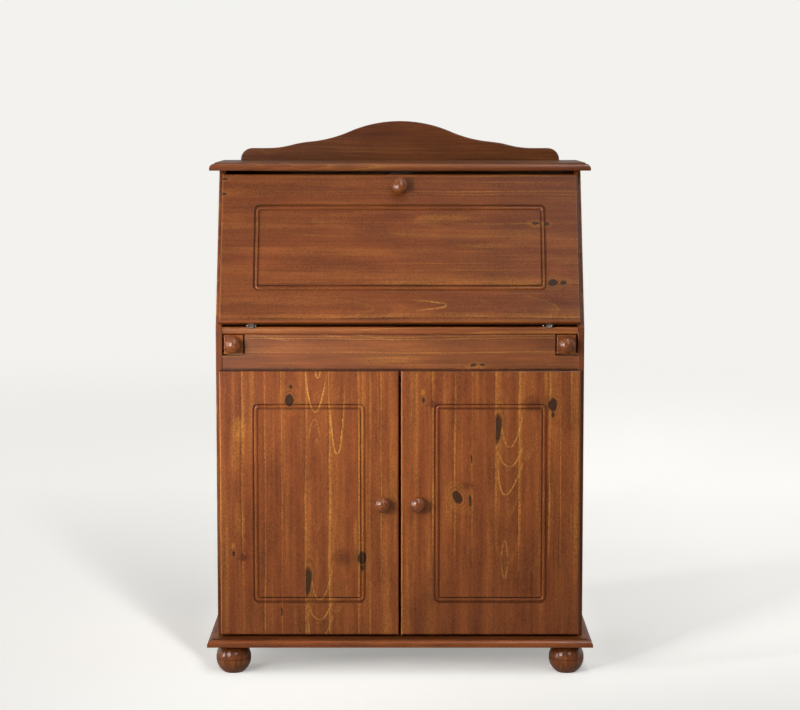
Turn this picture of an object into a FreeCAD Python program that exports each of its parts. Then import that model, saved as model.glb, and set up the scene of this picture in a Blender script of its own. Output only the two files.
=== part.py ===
import FreeCAD, Part
import math
import os

# A pine escritoire: a fall-front writing cabinet on ball feet. Millimetres, Z up, front towards -Y.
# The origin is on the floor, under the middle of the outer box.

Vector = FreeCAD.Vector
ORIGIN = Vector(0, 0, 0)
X_AXIS = Vector(1, 0, 0)
Y_AXIS = Vector(0, 1, 0)
Z_AXIS = Vector(0, 0, 1)
quarter_turn = 90
full_turn = 360
diagonal_share = math.sqrt(1 / 2)

# Base and top boards, with a quarter round under a small step on their front and side edges
board_width = 820.0
board_t = 17.0
base_depth = 410.0
mould_radius_share = 0.65
mould_quirk_share = 0.12
mould_ease_share = 0.1
side_overhang = 20.0
top_overhang = 10.0

# Carcase
panel_t = 14.0
back_t = 4.0
back_rebate = 7.0
desk_height = 743.0
desk_t = 15.0
upper_height = 327.0
slope_run = 132.0
apron_height = 88.0
apron_t = 16.0
apron_setback = 2.0
apron_ease = 2.5
edge_ease = 2.0
desk_ease = 3.5

# Crest board: the outline falls from the middle in arcs that meet tangent at these shares of its half
# length, with these steepnesses as shares of its mean fall, and ends in a quarter round
crest_length = 719.0
crest_height = 88.0
crest_t = 16.0
crest_ease = 2.5
crest_station_shares = (0, 0.32, 0.565, 0.68, 0.835)
crest_steepness_shares = (0, 1.776, 0.357, 1.095, 0)
crest_end_share = 0.95

# Feet: balls cut flat at top and bottom, with a turned V groove round the middle
foot_height = 63.0
foot_fullness_share = 1.19
foot_inset = 53.0
foot_groove_width = 2.4
foot_groove_depth = 1.6
stud_r = 4.0
stud_in_base = 12.0
stud_in_foot = 26.0

# Doors and lid: boards with rounded front edges and a routed frame line
leaf_t = 16.0
leaf_ease = 4.0
front_reveal = 8.0
door_setback = 25.0
door_lap = 12.5
door_bottom_gap = 4.5
door_meeting_gap = 4.0
door_back_gap = 3.5
lid_hinge_gap = 5.5
lid_top_gap = 7.0
lid_seat_gap = 0.8
groove_margin = 70.0
groove_width = 13.0
groove_depth = 4.5
groove_flat = 2.6
groove_quirk_width = 2.2
groove_quirk_depth = 4.5
groove_bead_depth = 1.6

# Turned knobs
knob_d = 34.0
knob_length = 29.0
knob_neck_share = 0.4
knob_foot_share = 0.5
knob_head_share = 0.42
knob_rim_share = 0.74
knob_tenon_r = 5.0
knob_tenon_length = 18.0
door_knob_inset = 35.5
lid_knob_drop = 33.0
screw_r = 2.0
screw_in_knob = 14.0
screw_head_r = 4.5
screw_head_t = 2.2

# Lopers: square bars that slide out under the open lid, with their runners, guides and stop pegs
loper_w = 41.0
loper_h = 41.0
loper_ease = 2.0
loper_side_gap = 3.2
loper_lid_gap = 0.5
loper_mouth_gap = 3.0
loper_rear_gap = 9.0
slot_lead = 49.5
guide_t = 14.0
guide_gap = 1.0
runner_t = 16.0
peg_r = 4.0
peg_seat = 20.0
peg_from_rear = 25.0
peg_gap = 1.0

# Inside: cupboard shelf on pins, and pigeonholes on the desk board
shelf_t = 14.0
shelf_height = 352.0
shelf_setback = 45.0
shelf_side_gap = 1.0
shelf_ease = 1.5
pin_r = 2.5
pin_length = 18.0
pin_in_panel = 8.0
pin_inset = 40.0
pigeonhole_height = 150.0
pigeonhole_depth = 170.0
pigeonhole_t = 10.0
divider_setback = 8.0
divider_count = 3

# Lid hinges: let-in plates with three knuckles on one pin
lid_hinge_inset = 67.0
lid_hinge_plate = 34.0
lid_hinge_t = 2.2
lid_hinge_neck = 6.0
knuckle_r = 2.8
knuckle_width = 11.0
knuckle_middle = 4.6
knuckle_gap = 0.35
lid_pin_r = 1.2

# Door hinges: a cup in the door, a hooked arm, a block on the side panel, and a pin
door_hinge_inset = 100.0
cup_r = 17.5
cup_depth = 12.0
cup_wall = 0.8
cup_edge = 3.0
cup_flange_t = 1.2
cup_flange_width = 24.0
cup_flange_length = 60.0
pivot_inset = 7.5
pivot_depth = 8.0
eye_r = 2.5
hinge_pin_r = 1.3
cheek_half = 3.2
cheek_gap = 1.0
cheek_grip = 3.5
arm_width = 9.0
arm_t = 2.0
arm_hook = 12.5
arm_length = 95.0
block_start = 24.0
block_end = 72.0
block_width = 14.0
block_flange_t = 2.0
block_flange_length = 52.0
block_flange_width = 24.0

# Magnetic catches and their strike plates
catch_half = 44.0
catch_height = 13.0
catch_depth = 16.0
strike_t = 1.0
strike_gap = 0.4
strike_inset = 8.0
strike_width = 28.0
strike_height = 11.0
lid_catch_width = 46.0
lid_catch_height = 27.0
lid_catch_depth = 18.0

# Wooden dowels in the carcase joints
dowel_r = 4.0
dowel_length = 30.0
dowel_in_board = 9.0
panel_dowel_shares = (0.2, 0.85)
desk_dowel_shares = (0.12, 0.5, 0.88)
crest_dowel_share = 0.42

# Clearances, and how far a cut runs past the faces that it opens
seat_clearance = 0.1
pin_clearance = 0.05
cut_overrun = 1.0

# Places worked out from the sizes above
body_half = board_width / 2 - side_overhang
inner_half = body_half - panel_t
panel_middle = body_half - panel_t / 2
leaf_half = body_half - front_reveal
knob_reach = max(knob_length - door_setback, 0)
back_y = (base_depth + knob_reach) / 2
front_y = back_y - base_depth
door_face_y = front_y + door_setback
door_back_y = door_face_y + leaf_t
carcase_y = door_back_y + door_back_gap
back_panel_y = back_y - back_t
base_top_z = foot_height + board_t
desk_under_z = desk_height - desk_t
apron_under_z = desk_under_z - apron_height
upper_top_z = desk_height + upper_height
top_z = upper_top_z + board_t
door_under_z = base_top_z + door_bottom_gap
door_top_z = apron_under_z + door_lap
slope = math.atan2(slope_run, upper_height)
lid_length = (upper_height - lid_top_gap - leaf_t * math.sin(slope)) / math.cos(slope)
lid_crown_y = carcase_y + lid_length * math.sin(slope) - leaf_t * math.cos(slope)
top_front_y = lid_crown_y - top_overhang
lid_axis = Vector(0, carcase_y, desk_height)
lid_hinge_x = leaf_half - lid_hinge_inset
loper_outer = inner_half - loper_side_gap
loper_inner = loper_outer - loper_w
loper_top_z = desk_height - leaf_t - loper_lid_gap
loper_under_z = loper_top_z - loper_h
loper_middle = Vector((loper_outer + loper_inner) / 2, carcase_y, (loper_top_z + loper_under_z) / 2)
loper_rear_y = back_panel_y - loper_rear_gap
peg_y = loper_rear_y - peg_from_rear
guide_outer = loper_inner - guide_gap
guide_inner = guide_outer - guide_t
apron_front_y = carcase_y + apron_setback
apron_back_y = apron_front_y + apron_t
crest_front_y = back_y - crest_t
foot_x = board_width / 2 - foot_inset
foot_spots = {
    "front_left": Vector(-foot_x, front_y + foot_inset, 0),
    "front_right": Vector(foot_x, front_y + foot_inset, 0),
    "rear_left": Vector(-foot_x, back_y - foot_inset, 0),
    "rear_right": Vector(foot_x, back_y - foot_inset, 0),
}
pivot = Vector(leaf_half - pivot_inset, door_back_y - pivot_depth, 0)
cup_x = leaf_half - cup_edge - cup_r
door_hinge_heights = (door_under_z + door_hinge_inset, door_top_z - door_hinge_inset)
door_knob_spot = Vector(door_meeting_gap / 2 + door_knob_inset, door_face_y, (door_under_z + door_top_z) / 2)


def box(x0, x1, y0, y1, z0, z1):
    """A block between two corners."""
    return Part.makeBox(x1 - x0, y1 - y0, z1 - z0, Vector(x0, y0, z0))


def bar(radius, start, end):
    """A round bar from one point to another."""
    along = end - start
    return Part.makeCylinder(radius, along.Length, start, along)


def polygon(points):
    """A flat face with straight sides."""
    return Part.Face(Part.makePolygon(list(points) + [points[0]]))


def turned(edges):
    """A solid of revolution about Z from the edges of a closed half section in the XZ plane."""
    return Part.Face(Part.Wire(edges)).revolve(ORIGIN, Z_AXIS, full_turn)


def line(start, end):
    """A straight edge."""
    return Part.LineSegment(start, end).toShape()


def arc(start, middle, end):
    """A round edge through three points."""
    return Part.Arc(start, middle, end).toShape()


def mirrored(shape):
    """The same piece on the other side of the cabinet."""
    return shape.mirror(ORIGIN, X_AXIS)


def group(solids):
    """Like pieces that share one node."""
    return Part.makeCompound(solids)


def eased(shape, radius, chosen):
    """The shape with the chosen edges rounded; each edge is judged by its middle and its box."""
    return shape.makeFillet(radius, [edge for edge in shape.Edges if chosen(edge.BoundBox)])


def near(value, target):
    """Whether a coordinate lies on a plane."""
    return abs(value - target) < seat_clearance


def in_front(y):
    """Picks the edges that lie in the plane of a front face."""
    return lambda b: near(b.YMin, y) and near(b.YMax, y)


def across_front(y):
    """Picks the edges of a front face that run from side to side."""
    return lambda b: near(b.YMin, y) and near(b.YMax, y) and near(b.ZMin, b.ZMax)


def on_lid(shape):
    """Places a piece drawn upright, with the lid's inner face at y = 0 and its hinge axis at z = 0."""
    placed = shape.copy()
    placed.rotate(ORIGIN, X_AXIS, -math.degrees(slope))
    placed.translate(lid_axis)
    return placed


def towards_front(shape, spot):
    """Turns a piece that was made along Z to point out of the front, at a spot."""
    placed = shape.copy()
    placed.rotate(ORIGIN, X_AXIS, quarter_turn)
    placed.translate(spot)
    return placed


def moulded_board(y0, y1, z0):
    """A board of full width with the moulding along its front and both sides, mitred at the corners."""
    half = board_width / 2
    radius = board_t * mould_radius_share
    quirk = board_t * mould_quirk_share
    lip = board_t - quirk - radius
    board = box(-half, half, y0, y1, z0, z0 + board_t)

    def waste(edge, inward, along):
        """What the moulding plane takes off one edge, as a bar that starts at a corner point."""
        def at(u, v):
            return edge + inward * u + Z_AXIS * (z0 + v)
        on_diagonal = radius * diagonal_share
        round_edge = arc(at(0, lip), at(radius - on_diagonal, lip + on_diagonal), at(radius, lip + radius))
        rest = Part.makePolygon([at(radius, lip + radius), at(radius, board_t + cut_overrun),
                                 at(-cut_overrun, board_t + cut_overrun), at(-cut_overrun, lip), at(0, lip)])
        return Part.Face(Part.Wire([round_edge] + rest.Edges)).extrude(along)

    sideways = X_AXIS * (board_width + 2 * cut_overrun)
    backwards = Y_AXIS * (y1 - y0 + 2 * cut_overrun)
    board = board.cut(waste(Vector(-half - cut_overrun, y0, 0), Y_AXIS, sideways))
    board = board.cut(waste(Vector(-half, y0 - cut_overrun, 0), X_AXIS, backwards))
    board = board.cut(waste(Vector(half, y0 - cut_overrun, 0), -X_AXIS, backwards))
    lower = lambda b: near(b.ZMax, z0) and not near(b.YMin, y1)
    return eased(board, board_t * mould_ease_share, lower)


def crest_board():
    """The shaped board on the top: tangent arcs from the middle out, mirrored, and quarter round ends."""
    half = crest_length / 2
    mean_fall = crest_height / half
    stations = [share * half for share in crest_station_shares]
    angles = [math.atan(share * mean_fall) for share in crest_steepness_shares]
    spots = [Vector(0, 0, crest_height)]
    middles = []
    for index in range(len(stations) - 1):
        turn = angles[index + 1] - angles[index]
        heading = (angles[index] + angles[index + 1]) / 2
        run = stations[index + 1] - stations[index]
        fall = run * math.tan(heading)
        chord = run / math.cos(heading)
        rise = chord / 2 * math.tan(turn / 4)
        start = spots[-1]
        spots.append(start + Vector(run, 0, -fall))
        middles.append((start + spots[-1]) / 2 + Vector(math.sin(heading), 0, math.cos(heading)) * rise)
    shoulder = spots[-1].z
    end_r = shoulder * crest_end_share
    on_diagonal = end_r * diagonal_share
    edges = [arc(*points) for points in zip(spots, middles, spots[1:])]
    shoulder_end = Vector(half - end_r, 0, shoulder)
    end_spot = Vector(half, 0, shoulder - end_r)
    end_middle = Vector(half - end_r + on_diagonal, 0, shoulder - end_r + on_diagonal)
    edges.append(line(spots[-1], shoulder_end))
    edges.append(arc(shoulder_end, end_middle, end_spot))
    edges.append(line(end_spot, Vector(half, 0, 0)))
    edges.append(line(Vector(half, 0, 0), ORIGIN))
    edges.append(line(ORIGIN, spots[0]))
    right = Part.Face(Part.Wire(edges)).extrude(Y_AXIS * crest_t)
    whole = right.fuse(mirrored(right)).removeSplitter()
    whole.translate(Vector(0, crest_front_y, top_z))
    return eased(whole, crest_ease, lambda b: near(b.YMax, crest_front_y) and b.ZMax > top_z + cut_overrun)


def ball_foot():
    """A ball cut flat at both ends, with a V groove round its middle, standing at the origin."""
    radius = foot_height * foot_fullness_share / 2
    middle_z = foot_height / 2
    flat_r = math.sqrt(radius * radius - middle_z * middle_z)
    lip_z = foot_groove_width / 2
    lip_r = math.sqrt(radius * radius - lip_z * lip_z)

    def on_ball(height):
        return Vector(math.sqrt(radius * radius - height * height), 0, middle_z + height)
    half_way = middle_z / 2
    return turned([
        line(ORIGIN, Vector(flat_r, 0, 0)),
        arc(Vector(flat_r, 0, 0), on_ball(-half_way), on_ball(-lip_z)),
        line(on_ball(-lip_z), Vector(lip_r - foot_groove_depth, 0, middle_z)),
        line(Vector(lip_r - foot_groove_depth, 0, middle_z), on_ball(lip_z)),
        arc(on_ball(lip_z), on_ball(half_way), Vector(flat_r, 0, foot_height)),
        line(Vector(flat_r, 0, foot_height), Vector(0, 0, foot_height)),
        line(Vector(0, 0, foot_height), ORIGIN),
    ])


def foot_stud(spot, spare):
    """The threaded stud between a foot and the base board, or its hole where spare is not zero."""
    low = spot + Z_AXIS * (foot_height - stud_in_foot - spare)
    high = spot + Z_AXIS * (foot_height + stud_in_base + spare)
    return bar(stud_r + spare, low, high)


def knob(tenon):
    """A turned knob along Z: a foot, a waisted neck, a round rim and a dome, with a tenon or a screw hole."""
    radius = knob_d / 2
    foot_r = radius * knob_foot_share
    neck_r = radius * knob_neck_share
    head_half = knob_length * knob_head_share
    rim_r = head_half * knob_rim_share
    rim_x = radius - rim_r
    rim_z = knob_length - head_half
    dome_r = (rim_x * rim_x + head_half * head_half - rim_r * rim_r) / (2 * (head_half - rim_r))
    dome_z = knob_length - dome_r
    rim_angle = math.atan2(rim_z - dome_z, rim_x)

    def on_dome(angle):
        return Vector(dome_r * math.cos(angle), 0, dome_z + dome_r * math.sin(angle))

    def on_rim(angle):
        return Vector(rim_x + rim_r * math.cos(angle), 0, rim_z + rim_r * math.sin(angle))
    tip = Vector(0, 0, knob_length)
    back = on_rim(-math.pi / 3)
    neck = Vector(neck_r, 0, back.z / 2)
    body = turned([
        line(ORIGIN, Vector(foot_r, 0, 0)),
        arc(Vector(foot_r, 0, 0), neck, back),
        arc(back, on_rim(0), on_rim(rim_angle)),
        arc(on_rim(rim_angle), on_dome((rim_angle + math.pi / 2) / 2), tip),
        line(tip, ORIGIN),
    ])
    if tenon:
        return body.fuse(bar(knob_tenon_r, Vector(0, 0, -knob_tenon_length), ORIGIN)).removeSplitter()
    return body.cut(bar(screw_r + seat_clearance, ORIGIN, Z_AXIS * (screw_in_knob + seat_clearance)))


def knob_screw():
    """A screw along Z that comes through a board from its inner face, with its shank's end in the knob."""
    shank = bar(screw_r, Z_AXIS * -leaf_t, Z_AXIS * screw_in_knob)
    head = bar(screw_head_r, Z_AXIS * (-leaf_t - screw_head_t), Z_AXIS * -leaf_t)
    return shank.fuse(head).removeSplitter()


def knob_hole(reach, radius):
    """The hole for a knob's screw or tenon, along Z into the board behind it."""
    return bar(radius + seat_clearance, Z_AXIS * -(reach + seat_clearance), Z_AXIS * cut_overrun)


def groove_section(spot, outward):
    """Section of the routed frame line at a point of its inner line: outer flat, bead, inner quirk."""
    def at(u, w):
        return spot + outward * u + Y_AXIS * w
    bead_start = at(groove_quirk_width, groove_quirk_depth)
    bead_end = at(groove_width - groove_flat, groove_depth)
    bead_top = at((groove_width + groove_quirk_width - groove_flat) / 2, groove_bead_depth)
    rest = Part.makePolygon([bead_end, at(groove_width, groove_depth), at(groove_width, -cut_overrun),
                             at(0, -cut_overrun), at(0, groove_quirk_depth), bead_start])
    return Part.Face(Part.Wire([arc(bead_start, bead_top, bead_end)] + rest.Edges))


def routed_frame(x0, x1, z0, z1):
    """What the router takes out: straight runs along a rectangle, turned through a quarter at its corners."""
    corners = [Vector(x, -leaf_t, z) for x, z in ((x0, z0), (x1, z0), (x1, z1), (x0, z1))]
    outwards = [-Z_AXIS, X_AXIS, Z_AXIS, -X_AXIS]
    cuts = []
    for index, outward in enumerate(outwards):
        start = corners[index]
        end = corners[(index + 1) % len(corners)]
        cuts.append(groove_section(start, outward).extrude(end - start))
        cuts.append(groove_section(end, outward).revolve(end, -Y_AXIS, quarter_turn))
    return cuts[0].multiFuse(cuts[1:])


def leaf(x0, x1, z0, z1):
    """A door or lid board, upright, with its inner face at y = 0."""
    board = eased(box(x0, x1, -leaf_t, 0, z0, z1), leaf_ease, in_front(-leaf_t))
    inset = groove_margin + groove_width
    return board.cut(routed_frame(x0 + inset, x1 - inset, z0 + inset, z1 - inset))


def dowel(joint, along, spare):
    """A dowel across a joint face, mostly on its along side, or its hole where spare is not zero."""
    start = joint - along * (dowel_in_board + spare)
    end = joint + along * (dowel_length - dowel_in_board + spare)
    return bar(dowel_r + spare, start, end)


def carcase_joints():
    """Every dowelled joint: a point on the joint face and the direction into the longer hole."""
    joints = []
    for side in (-1, 1):
        for share in panel_dowel_shares:
            low_y = carcase_y + (back_panel_y - carcase_y) * share
            high_y = carcase_y + slope_run + (back_panel_y - carcase_y - slope_run) * share
            joints.append((Vector(side * panel_middle, low_y, base_top_z), Z_AXIS))
            joints.append((Vector(side * panel_middle, high_y, upper_top_z), -Z_AXIS))
        for share in desk_dowel_shares:
            desk_y = carcase_y + (back_panel_y - carcase_y) * share
            joints.append((Vector(side * inner_half, desk_y, desk_height - desk_t / 2), X_AXIS * -side))
        apron_z = (apron_under_z + loper_under_z - loper_mouth_gap) / 2
        joints.append((Vector(side * inner_half, apron_front_y + apron_t / 2, apron_z), X_AXIS * -side))
        crest_x = crest_length / 2 * crest_dowel_share
        joints.append((Vector(side * crest_x, crest_front_y + crest_t / 2, top_z), Z_AXIS))
    return joints


def shelf_pin_spots():
    """Where the shelf pins leave the right side panel."""
    front_pin_y = carcase_y + shelf_setback + pin_inset
    rear_pin_y = back_panel_y - pin_inset
    return [Vector(inner_half, y, shelf_height - pin_r) for y in (front_pin_y, rear_pin_y)]


def shelf_pin(spot, spare):
    """A shelf pin in the right side panel, or its hole where spare is not zero."""
    tip = spot - X_AXIS * (pin_length - pin_in_panel)
    return bar(pin_r + spare, spot + X_AXIS * (pin_in_panel + spare), tip)


def right_side_panel():
    """The right side: upright front edge, slanted edge behind the lid, and a rebate for the back panels."""
    seat_shift = lid_seat_gap / math.cos(slope)
    corner_z = desk_height - seat_shift / math.tan(slope)
    crown_y = carcase_y + slope_run + seat_shift
    outline = polygon([
        Vector(inner_half, carcase_y, base_top_z),
        Vector(inner_half, back_y, base_top_z),
        Vector(inner_half, back_y, upper_top_z),
        Vector(inner_half, crown_y, upper_top_z),
        Vector(inner_half, carcase_y, corner_z),
    ])
    panel = outline.extrude(X_AXIS * panel_t)
    panel = eased(panel, edge_ease, lambda b: near(b.XMin, b.XMax) and b.YMin < crown_y - cut_overrun
                  and b.ZMax - b.ZMin > panel_t)
    rebate = box(inner_half - cut_overrun, inner_half + back_rebate, back_panel_y, back_y + cut_overrun,
                 base_top_z - cut_overrun, upper_top_z + cut_overrun)
    panel = panel.cut(rebate)
    return panel.cut(group([shelf_pin(spot, seat_clearance) for spot in shelf_pin_spots()]))


def back_panel(z0, z1):
    """A thin back panel that lies in the side panels' rebates."""
    half = inner_half + back_rebate
    return box(-half, half, back_panel_y, back_y, z0, z1)


def lid_plate_set(spare):
    """Upright hinge plate and neck, by the axis at z = 0, let into the face at y = 0, or its recess."""
    half = lid_hinge_plate / 2 + spare
    reach = lid_hinge_neck + lid_hinge_plate
    plate = box(-half, half, -lid_hinge_t - spare, spare, lid_hinge_neck - spare, reach + spare)
    neck_half = knuckle_width / 2 + spare
    neck = box(-neck_half, neck_half, -lid_hinge_t - spare, spare, 0, lid_hinge_neck)
    return plate.fuse(neck).removeSplitter()


def knuckle_bar(radius, low, high):
    """A bar on the lid's axis, between two places along it."""
    return bar(radius, X_AXIS * low, X_AXIS * high)


def knuckle_recess():
    """The room that both boards leave round the knuckles."""
    half = knuckle_width / 2 + knuckle_gap
    return knuckle_bar(knuckle_r + knuckle_gap, -half, half)


def lid_hinge_pin(spare):
    """The pin through a lid hinge's knuckles, or its bore where spare is not zero."""
    half = knuckle_width / 2 + spare
    return knuckle_bar(lid_pin_r + spare, -half, half)


def outer_knuckles(radius, spare):
    """The two outer knuckles of a lid hinge, or the room round them where spare is not zero."""
    middle = knuckle_middle / 2 - spare
    half = knuckle_width / 2 + spare
    return [knuckle_bar(radius, -half, -middle), knuckle_bar(radius, middle, half)]


def lid_hinge_leaf():
    """The half of a lid hinge with the middle knuckle, as it lies in the upright lid."""
    middle = knuckle_middle / 2 - knuckle_gap
    plate = lid_plate_set(0).cut(group(outer_knuckles(knuckle_r + knuckle_gap, knuckle_gap)))
    plate = plate.fuse(knuckle_bar(knuckle_r, -middle, middle))
    return plate.cut(lid_hinge_pin(pin_clearance)).removeSplitter()


def lid_hinge_plate_half():
    """The half of a lid hinge with the outer knuckles, drawn upright like the other half."""
    middle = knuckle_middle / 2
    plate = lid_plate_set(0).cut(knuckle_bar(knuckle_r + knuckle_gap, -middle, middle))
    plate = plate.multiFuse(outer_knuckles(knuckle_r, 0))
    return plate.cut(lid_hinge_pin(pin_clearance)).removeSplitter()


def on_desk(shape):
    """Lays an upright hinge part or recess into the desk board's top, behind the lid's axis."""
    placed = shape.copy()
    placed.rotate(ORIGIN, X_AXIS, -quarter_turn)
    placed = placed.mirror(ORIGIN, Z_AXIS)
    placed.translate(lid_axis)
    return placed


def both_lid_hinges(shape, place):
    """A lid hinge part at both hinge places."""
    copies = []
    for side in (-1, 1):
        copy = shape.copy()
        copy.translate(X_AXIS * (side * lid_hinge_x))
        copies.append(place(copy))
    return copies


def desk_board():
    """The writing surface between the side panels, let in for the hinge plates."""
    board = box(-inner_half, inner_half, carcase_y, back_panel_y, desk_under_z, desk_height)
    board = eased(board, desk_ease, across_front(carcase_y))
    recess = lid_plate_set(seat_clearance).fuse(knuckle_recess())
    return board.cut(group(both_lid_hinges(recess, on_desk)))


def apron_rail():
    """The rail under the desk board, notched at both top corners for the lopers."""
    rail = box(-inner_half, inner_half, apron_front_y, apron_back_y, apron_under_z, desk_under_z)
    rail = eased(rail, apron_ease, across_front(apron_front_y))
    mouth = box(loper_inner - loper_side_gap, inner_half + cut_overrun, carcase_y - cut_overrun,
                apron_back_y + cut_overrun, loper_under_z - loper_mouth_gap, desk_under_z + cut_overrun)
    return rail.cut(mouth).cut(mirrored(mouth))


def lid_panel():
    """The fall front, closed: knob hole, recesses for the hinge leaves, and the routed frame."""
    board = leaf(-leaf_half, leaf_half, lid_hinge_gap, lid_length)
    board = board.cut(lid_knob_place(knob_hole(leaf_t, screw_r)))
    recess = lid_plate_set(seat_clearance).fuse(knuckle_recess())
    board = board.cut(group(both_lid_hinges(recess, lambda shape: shape)))
    return on_lid(board)


def lid_knob_place(shape):
    """Puts a knob part, made along Z, on the upright lid's outer face."""
    return towards_front(shape, Vector(0, -leaf_t, lid_length - lid_knob_drop))


def right_loper():
    """The right lid support, pushed in, with holes for its knob's tenon and its stop peg."""
    loper = box(loper_inner, loper_outer, carcase_y, loper_rear_y, loper_under_z, loper_top_z)
    loper = eased(loper, loper_ease, in_front(carcase_y))
    tenon_hole = towards_front(knob_hole(knob_tenon_length, knob_tenon_r), loper_middle)
    return loper.cut(tenon_hole).cut(stop_peg(seat_clearance))


def stop_peg(spare):
    """The peg in the right loper's inner face that runs in the guide's slot, or its hole."""
    spot = Vector(loper_inner, peg_y, loper_middle.z)
    tip = spot - X_AXIS * (guide_gap + guide_t - peg_gap)
    return bar(peg_r + spare, spot + X_AXIS * (peg_seat + spare), tip)


def right_loper_guide():
    """The strip beside the loper, hung from the desk board, with a slot that ends the loper's travel."""
    strip = box(guide_inner, guide_outer, apron_back_y, back_panel_y, loper_under_z, desk_under_z)
    reach = peg_r + peg_gap
    low_z = loper_middle.z - reach
    high_z = loper_middle.z + reach
    start_y = apron_back_y + slot_lead
    slot = box(guide_inner - cut_overrun, guide_outer + cut_overrun, start_y, peg_y, low_z, high_z)
    for end_y in (start_y, peg_y):
        low = Vector(guide_inner - cut_overrun, end_y, loper_middle.z)
        high = Vector(guide_outer + cut_overrun, end_y, loper_middle.z)
        slot = slot.fuse(bar(reach, low, high))
    return strip.cut(slot)


def right_loper_runner():
    """The batten that the loper slides on and the guide stands on."""
    return box(guide_inner, inner_half, apron_back_y, back_panel_y, loper_under_z - runner_t, loper_under_z)


def right_door():
    """The right door, closed: bored for its hinge cups and its knob's screw."""
    door = leaf(door_meeting_gap / 2, leaf_half, door_under_z, door_top_z)
    door.translate(Y_AXIS * door_back_y)
    door = door.cut(towards_front(knob_hole(leaf_t, screw_r), door_knob_spot))
    for height in door_hinge_heights:
        mouth = Vector(cup_x, door_back_y + cut_overrun, height)
        floor = Vector(cup_x, door_back_y - cup_depth - seat_clearance, height)
        door = door.cut(bar(cup_r + seat_clearance, mouth, floor))
    return door


def hinge_cup(height):
    """A hinge cup in the right door: a thin cup with a flange on the door and two cheeks for the pin."""
    mouth = Vector(cup_x, door_back_y, height)
    wall_r = cup_r - cup_wall
    cup = bar(cup_r, mouth, mouth - Y_AXIS * cup_depth)
    half_width = cup_flange_width / 2
    half_length = cup_flange_length / 2
    flange = box(cup_x - half_width, cup_x + half_width, door_back_y, door_back_y + cup_flange_t,
                 height - half_length, height + half_length)
    rim = bar(cup_r, mouth, mouth + Y_AXIS * cup_flange_t)
    floor = mouth - Y_AXIS * (cup_depth - cup_wall)
    hollow = bar(wall_r, mouth + Y_AXIS * (cup_flange_t + cut_overrun), floor)
    shell = cup.multiFuse([flange, rim]).cut(hollow).removeSplitter()
    inner = arm_width / 2 + cheek_gap
    cheeks = []
    for side in (-1, 1):
        near_z, far_z = sorted((height + side * inner, height + side * cup_r))
        cheek = box(pivot.x - cheek_half, pivot.x + cup_r,
                    door_back_y - cup_depth, pivot.y + cheek_half, near_z, far_z)
        cheeks.append(cheek.common(cup))
    return shell.multiFuse(cheeks).removeSplitter().cut(hinge_pin(height, pin_clearance))


def hinge_pin(height, spare):
    """The pin across a cup, held in the cup's cheeks, or its hole where spare is not zero."""
    half = arm_width / 2 + cheek_gap + cheek_grip
    middle = pivot + Z_AXIS * height
    return bar(hinge_pin_r + spare, middle - Z_AXIS * (half + spare), middle + Z_AXIS * (half + spare))


def hinge_arm(height):
    """A hooked arm: an eye on the pin, a short leg across the cup, a long leg into the cupboard."""
    low = pivot + Z_AXIS * (height - arm_width / 2)
    high = pivot + Z_AXIS * (height + arm_width / 2)
    half_t = arm_t / 2
    eye = bar(eye_r, low, high)
    heel_x = pivot.x - arm_hook
    heel_y = pivot.y - half_t
    short = box(heel_x, pivot.x, heel_y, pivot.y + half_t, low.z, high.z)
    long = box(heel_x, heel_x + arm_t, heel_y, pivot.y + arm_length, low.z, high.z)
    hook = short.fuse(long).removeSplitter()
    hook = eased(hook, half_t, lambda b: near(b.XMax, heel_x) and near(b.YMax, heel_y))
    bore = bar(hinge_pin_r + pin_clearance, low - Z_AXIS * cut_overrun, high + Z_AXIS * cut_overrun)
    return hook.fuse(eye).removeSplitter().cut(bore)


def hinge_block(height):
    """The block that carries a hinge arm on the right side panel, with a screwed-on flange."""
    arm_face = pivot.x - arm_hook + arm_t
    block = box(arm_face, inner_half, carcase_y + block_start, carcase_y + block_end,
                height - block_width / 2, height + block_width / 2)
    middle_y = carcase_y + (block_start + block_end) / 2
    half_width = block_flange_width / 2
    half_length = block_flange_length / 2
    flange = box(inner_half - block_flange_t, inner_half, middle_y - half_width, middle_y + half_width,
                 height - half_length, height + half_length)
    return block.fuse(flange).removeSplitter()


def door_catch():
    """A double magnetic catch under the apron rail, facing both doors' strike plates."""
    nose_y = door_back_y + strike_t + strike_gap
    low_z = apron_under_z - catch_height
    return box(-catch_half, catch_half, nose_y, nose_y + catch_depth, low_z, apron_under_z)


def right_strike_plate():
    """The steel plate on the right door's inner face."""
    low_z = apron_under_z - (catch_height + strike_height) / 2
    return box(strike_inset, strike_inset + strike_width, door_back_y, door_back_y + strike_t,
               low_z, low_z + strike_height)


def lid_catch():
    """A magnetic catch under the top board, with a sloping nose behind the lid's upper edge."""
    half = lid_catch_width / 2
    nose_shift = (strike_t + strike_gap) / math.cos(slope)
    low_z = upper_top_z - lid_catch_height
    high_nose_y = carcase_y + slope_run + nose_shift
    low_nose_y = high_nose_y - lid_catch_height * math.tan(slope)
    side = polygon([
        Vector(-half, low_nose_y, low_z),
        Vector(-half, high_nose_y, upper_top_z),
        Vector(-half, high_nose_y + lid_catch_depth, upper_top_z),
        Vector(-half, high_nose_y + lid_catch_depth, low_z),
    ])
    return side.extrude(X_AXIS * lid_catch_width)


def lid_strike_plate():
    """The steel plate on the lid's inner face, near its upper edge."""
    half = strike_width / 2
    low = lid_length - edge_ease - strike_height
    return on_lid(box(-half, half, 0, strike_t, low, low + strike_height))


def cupboard_shelf():
    """The loose shelf in the cupboard."""
    half = inner_half - shelf_side_gap
    front = carcase_y + shelf_setback
    board = box(-half, half, front, back_panel_y - shelf_side_gap, shelf_height, shelf_height + shelf_t)
    return eased(board, shelf_ease, across_front(front))


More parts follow.
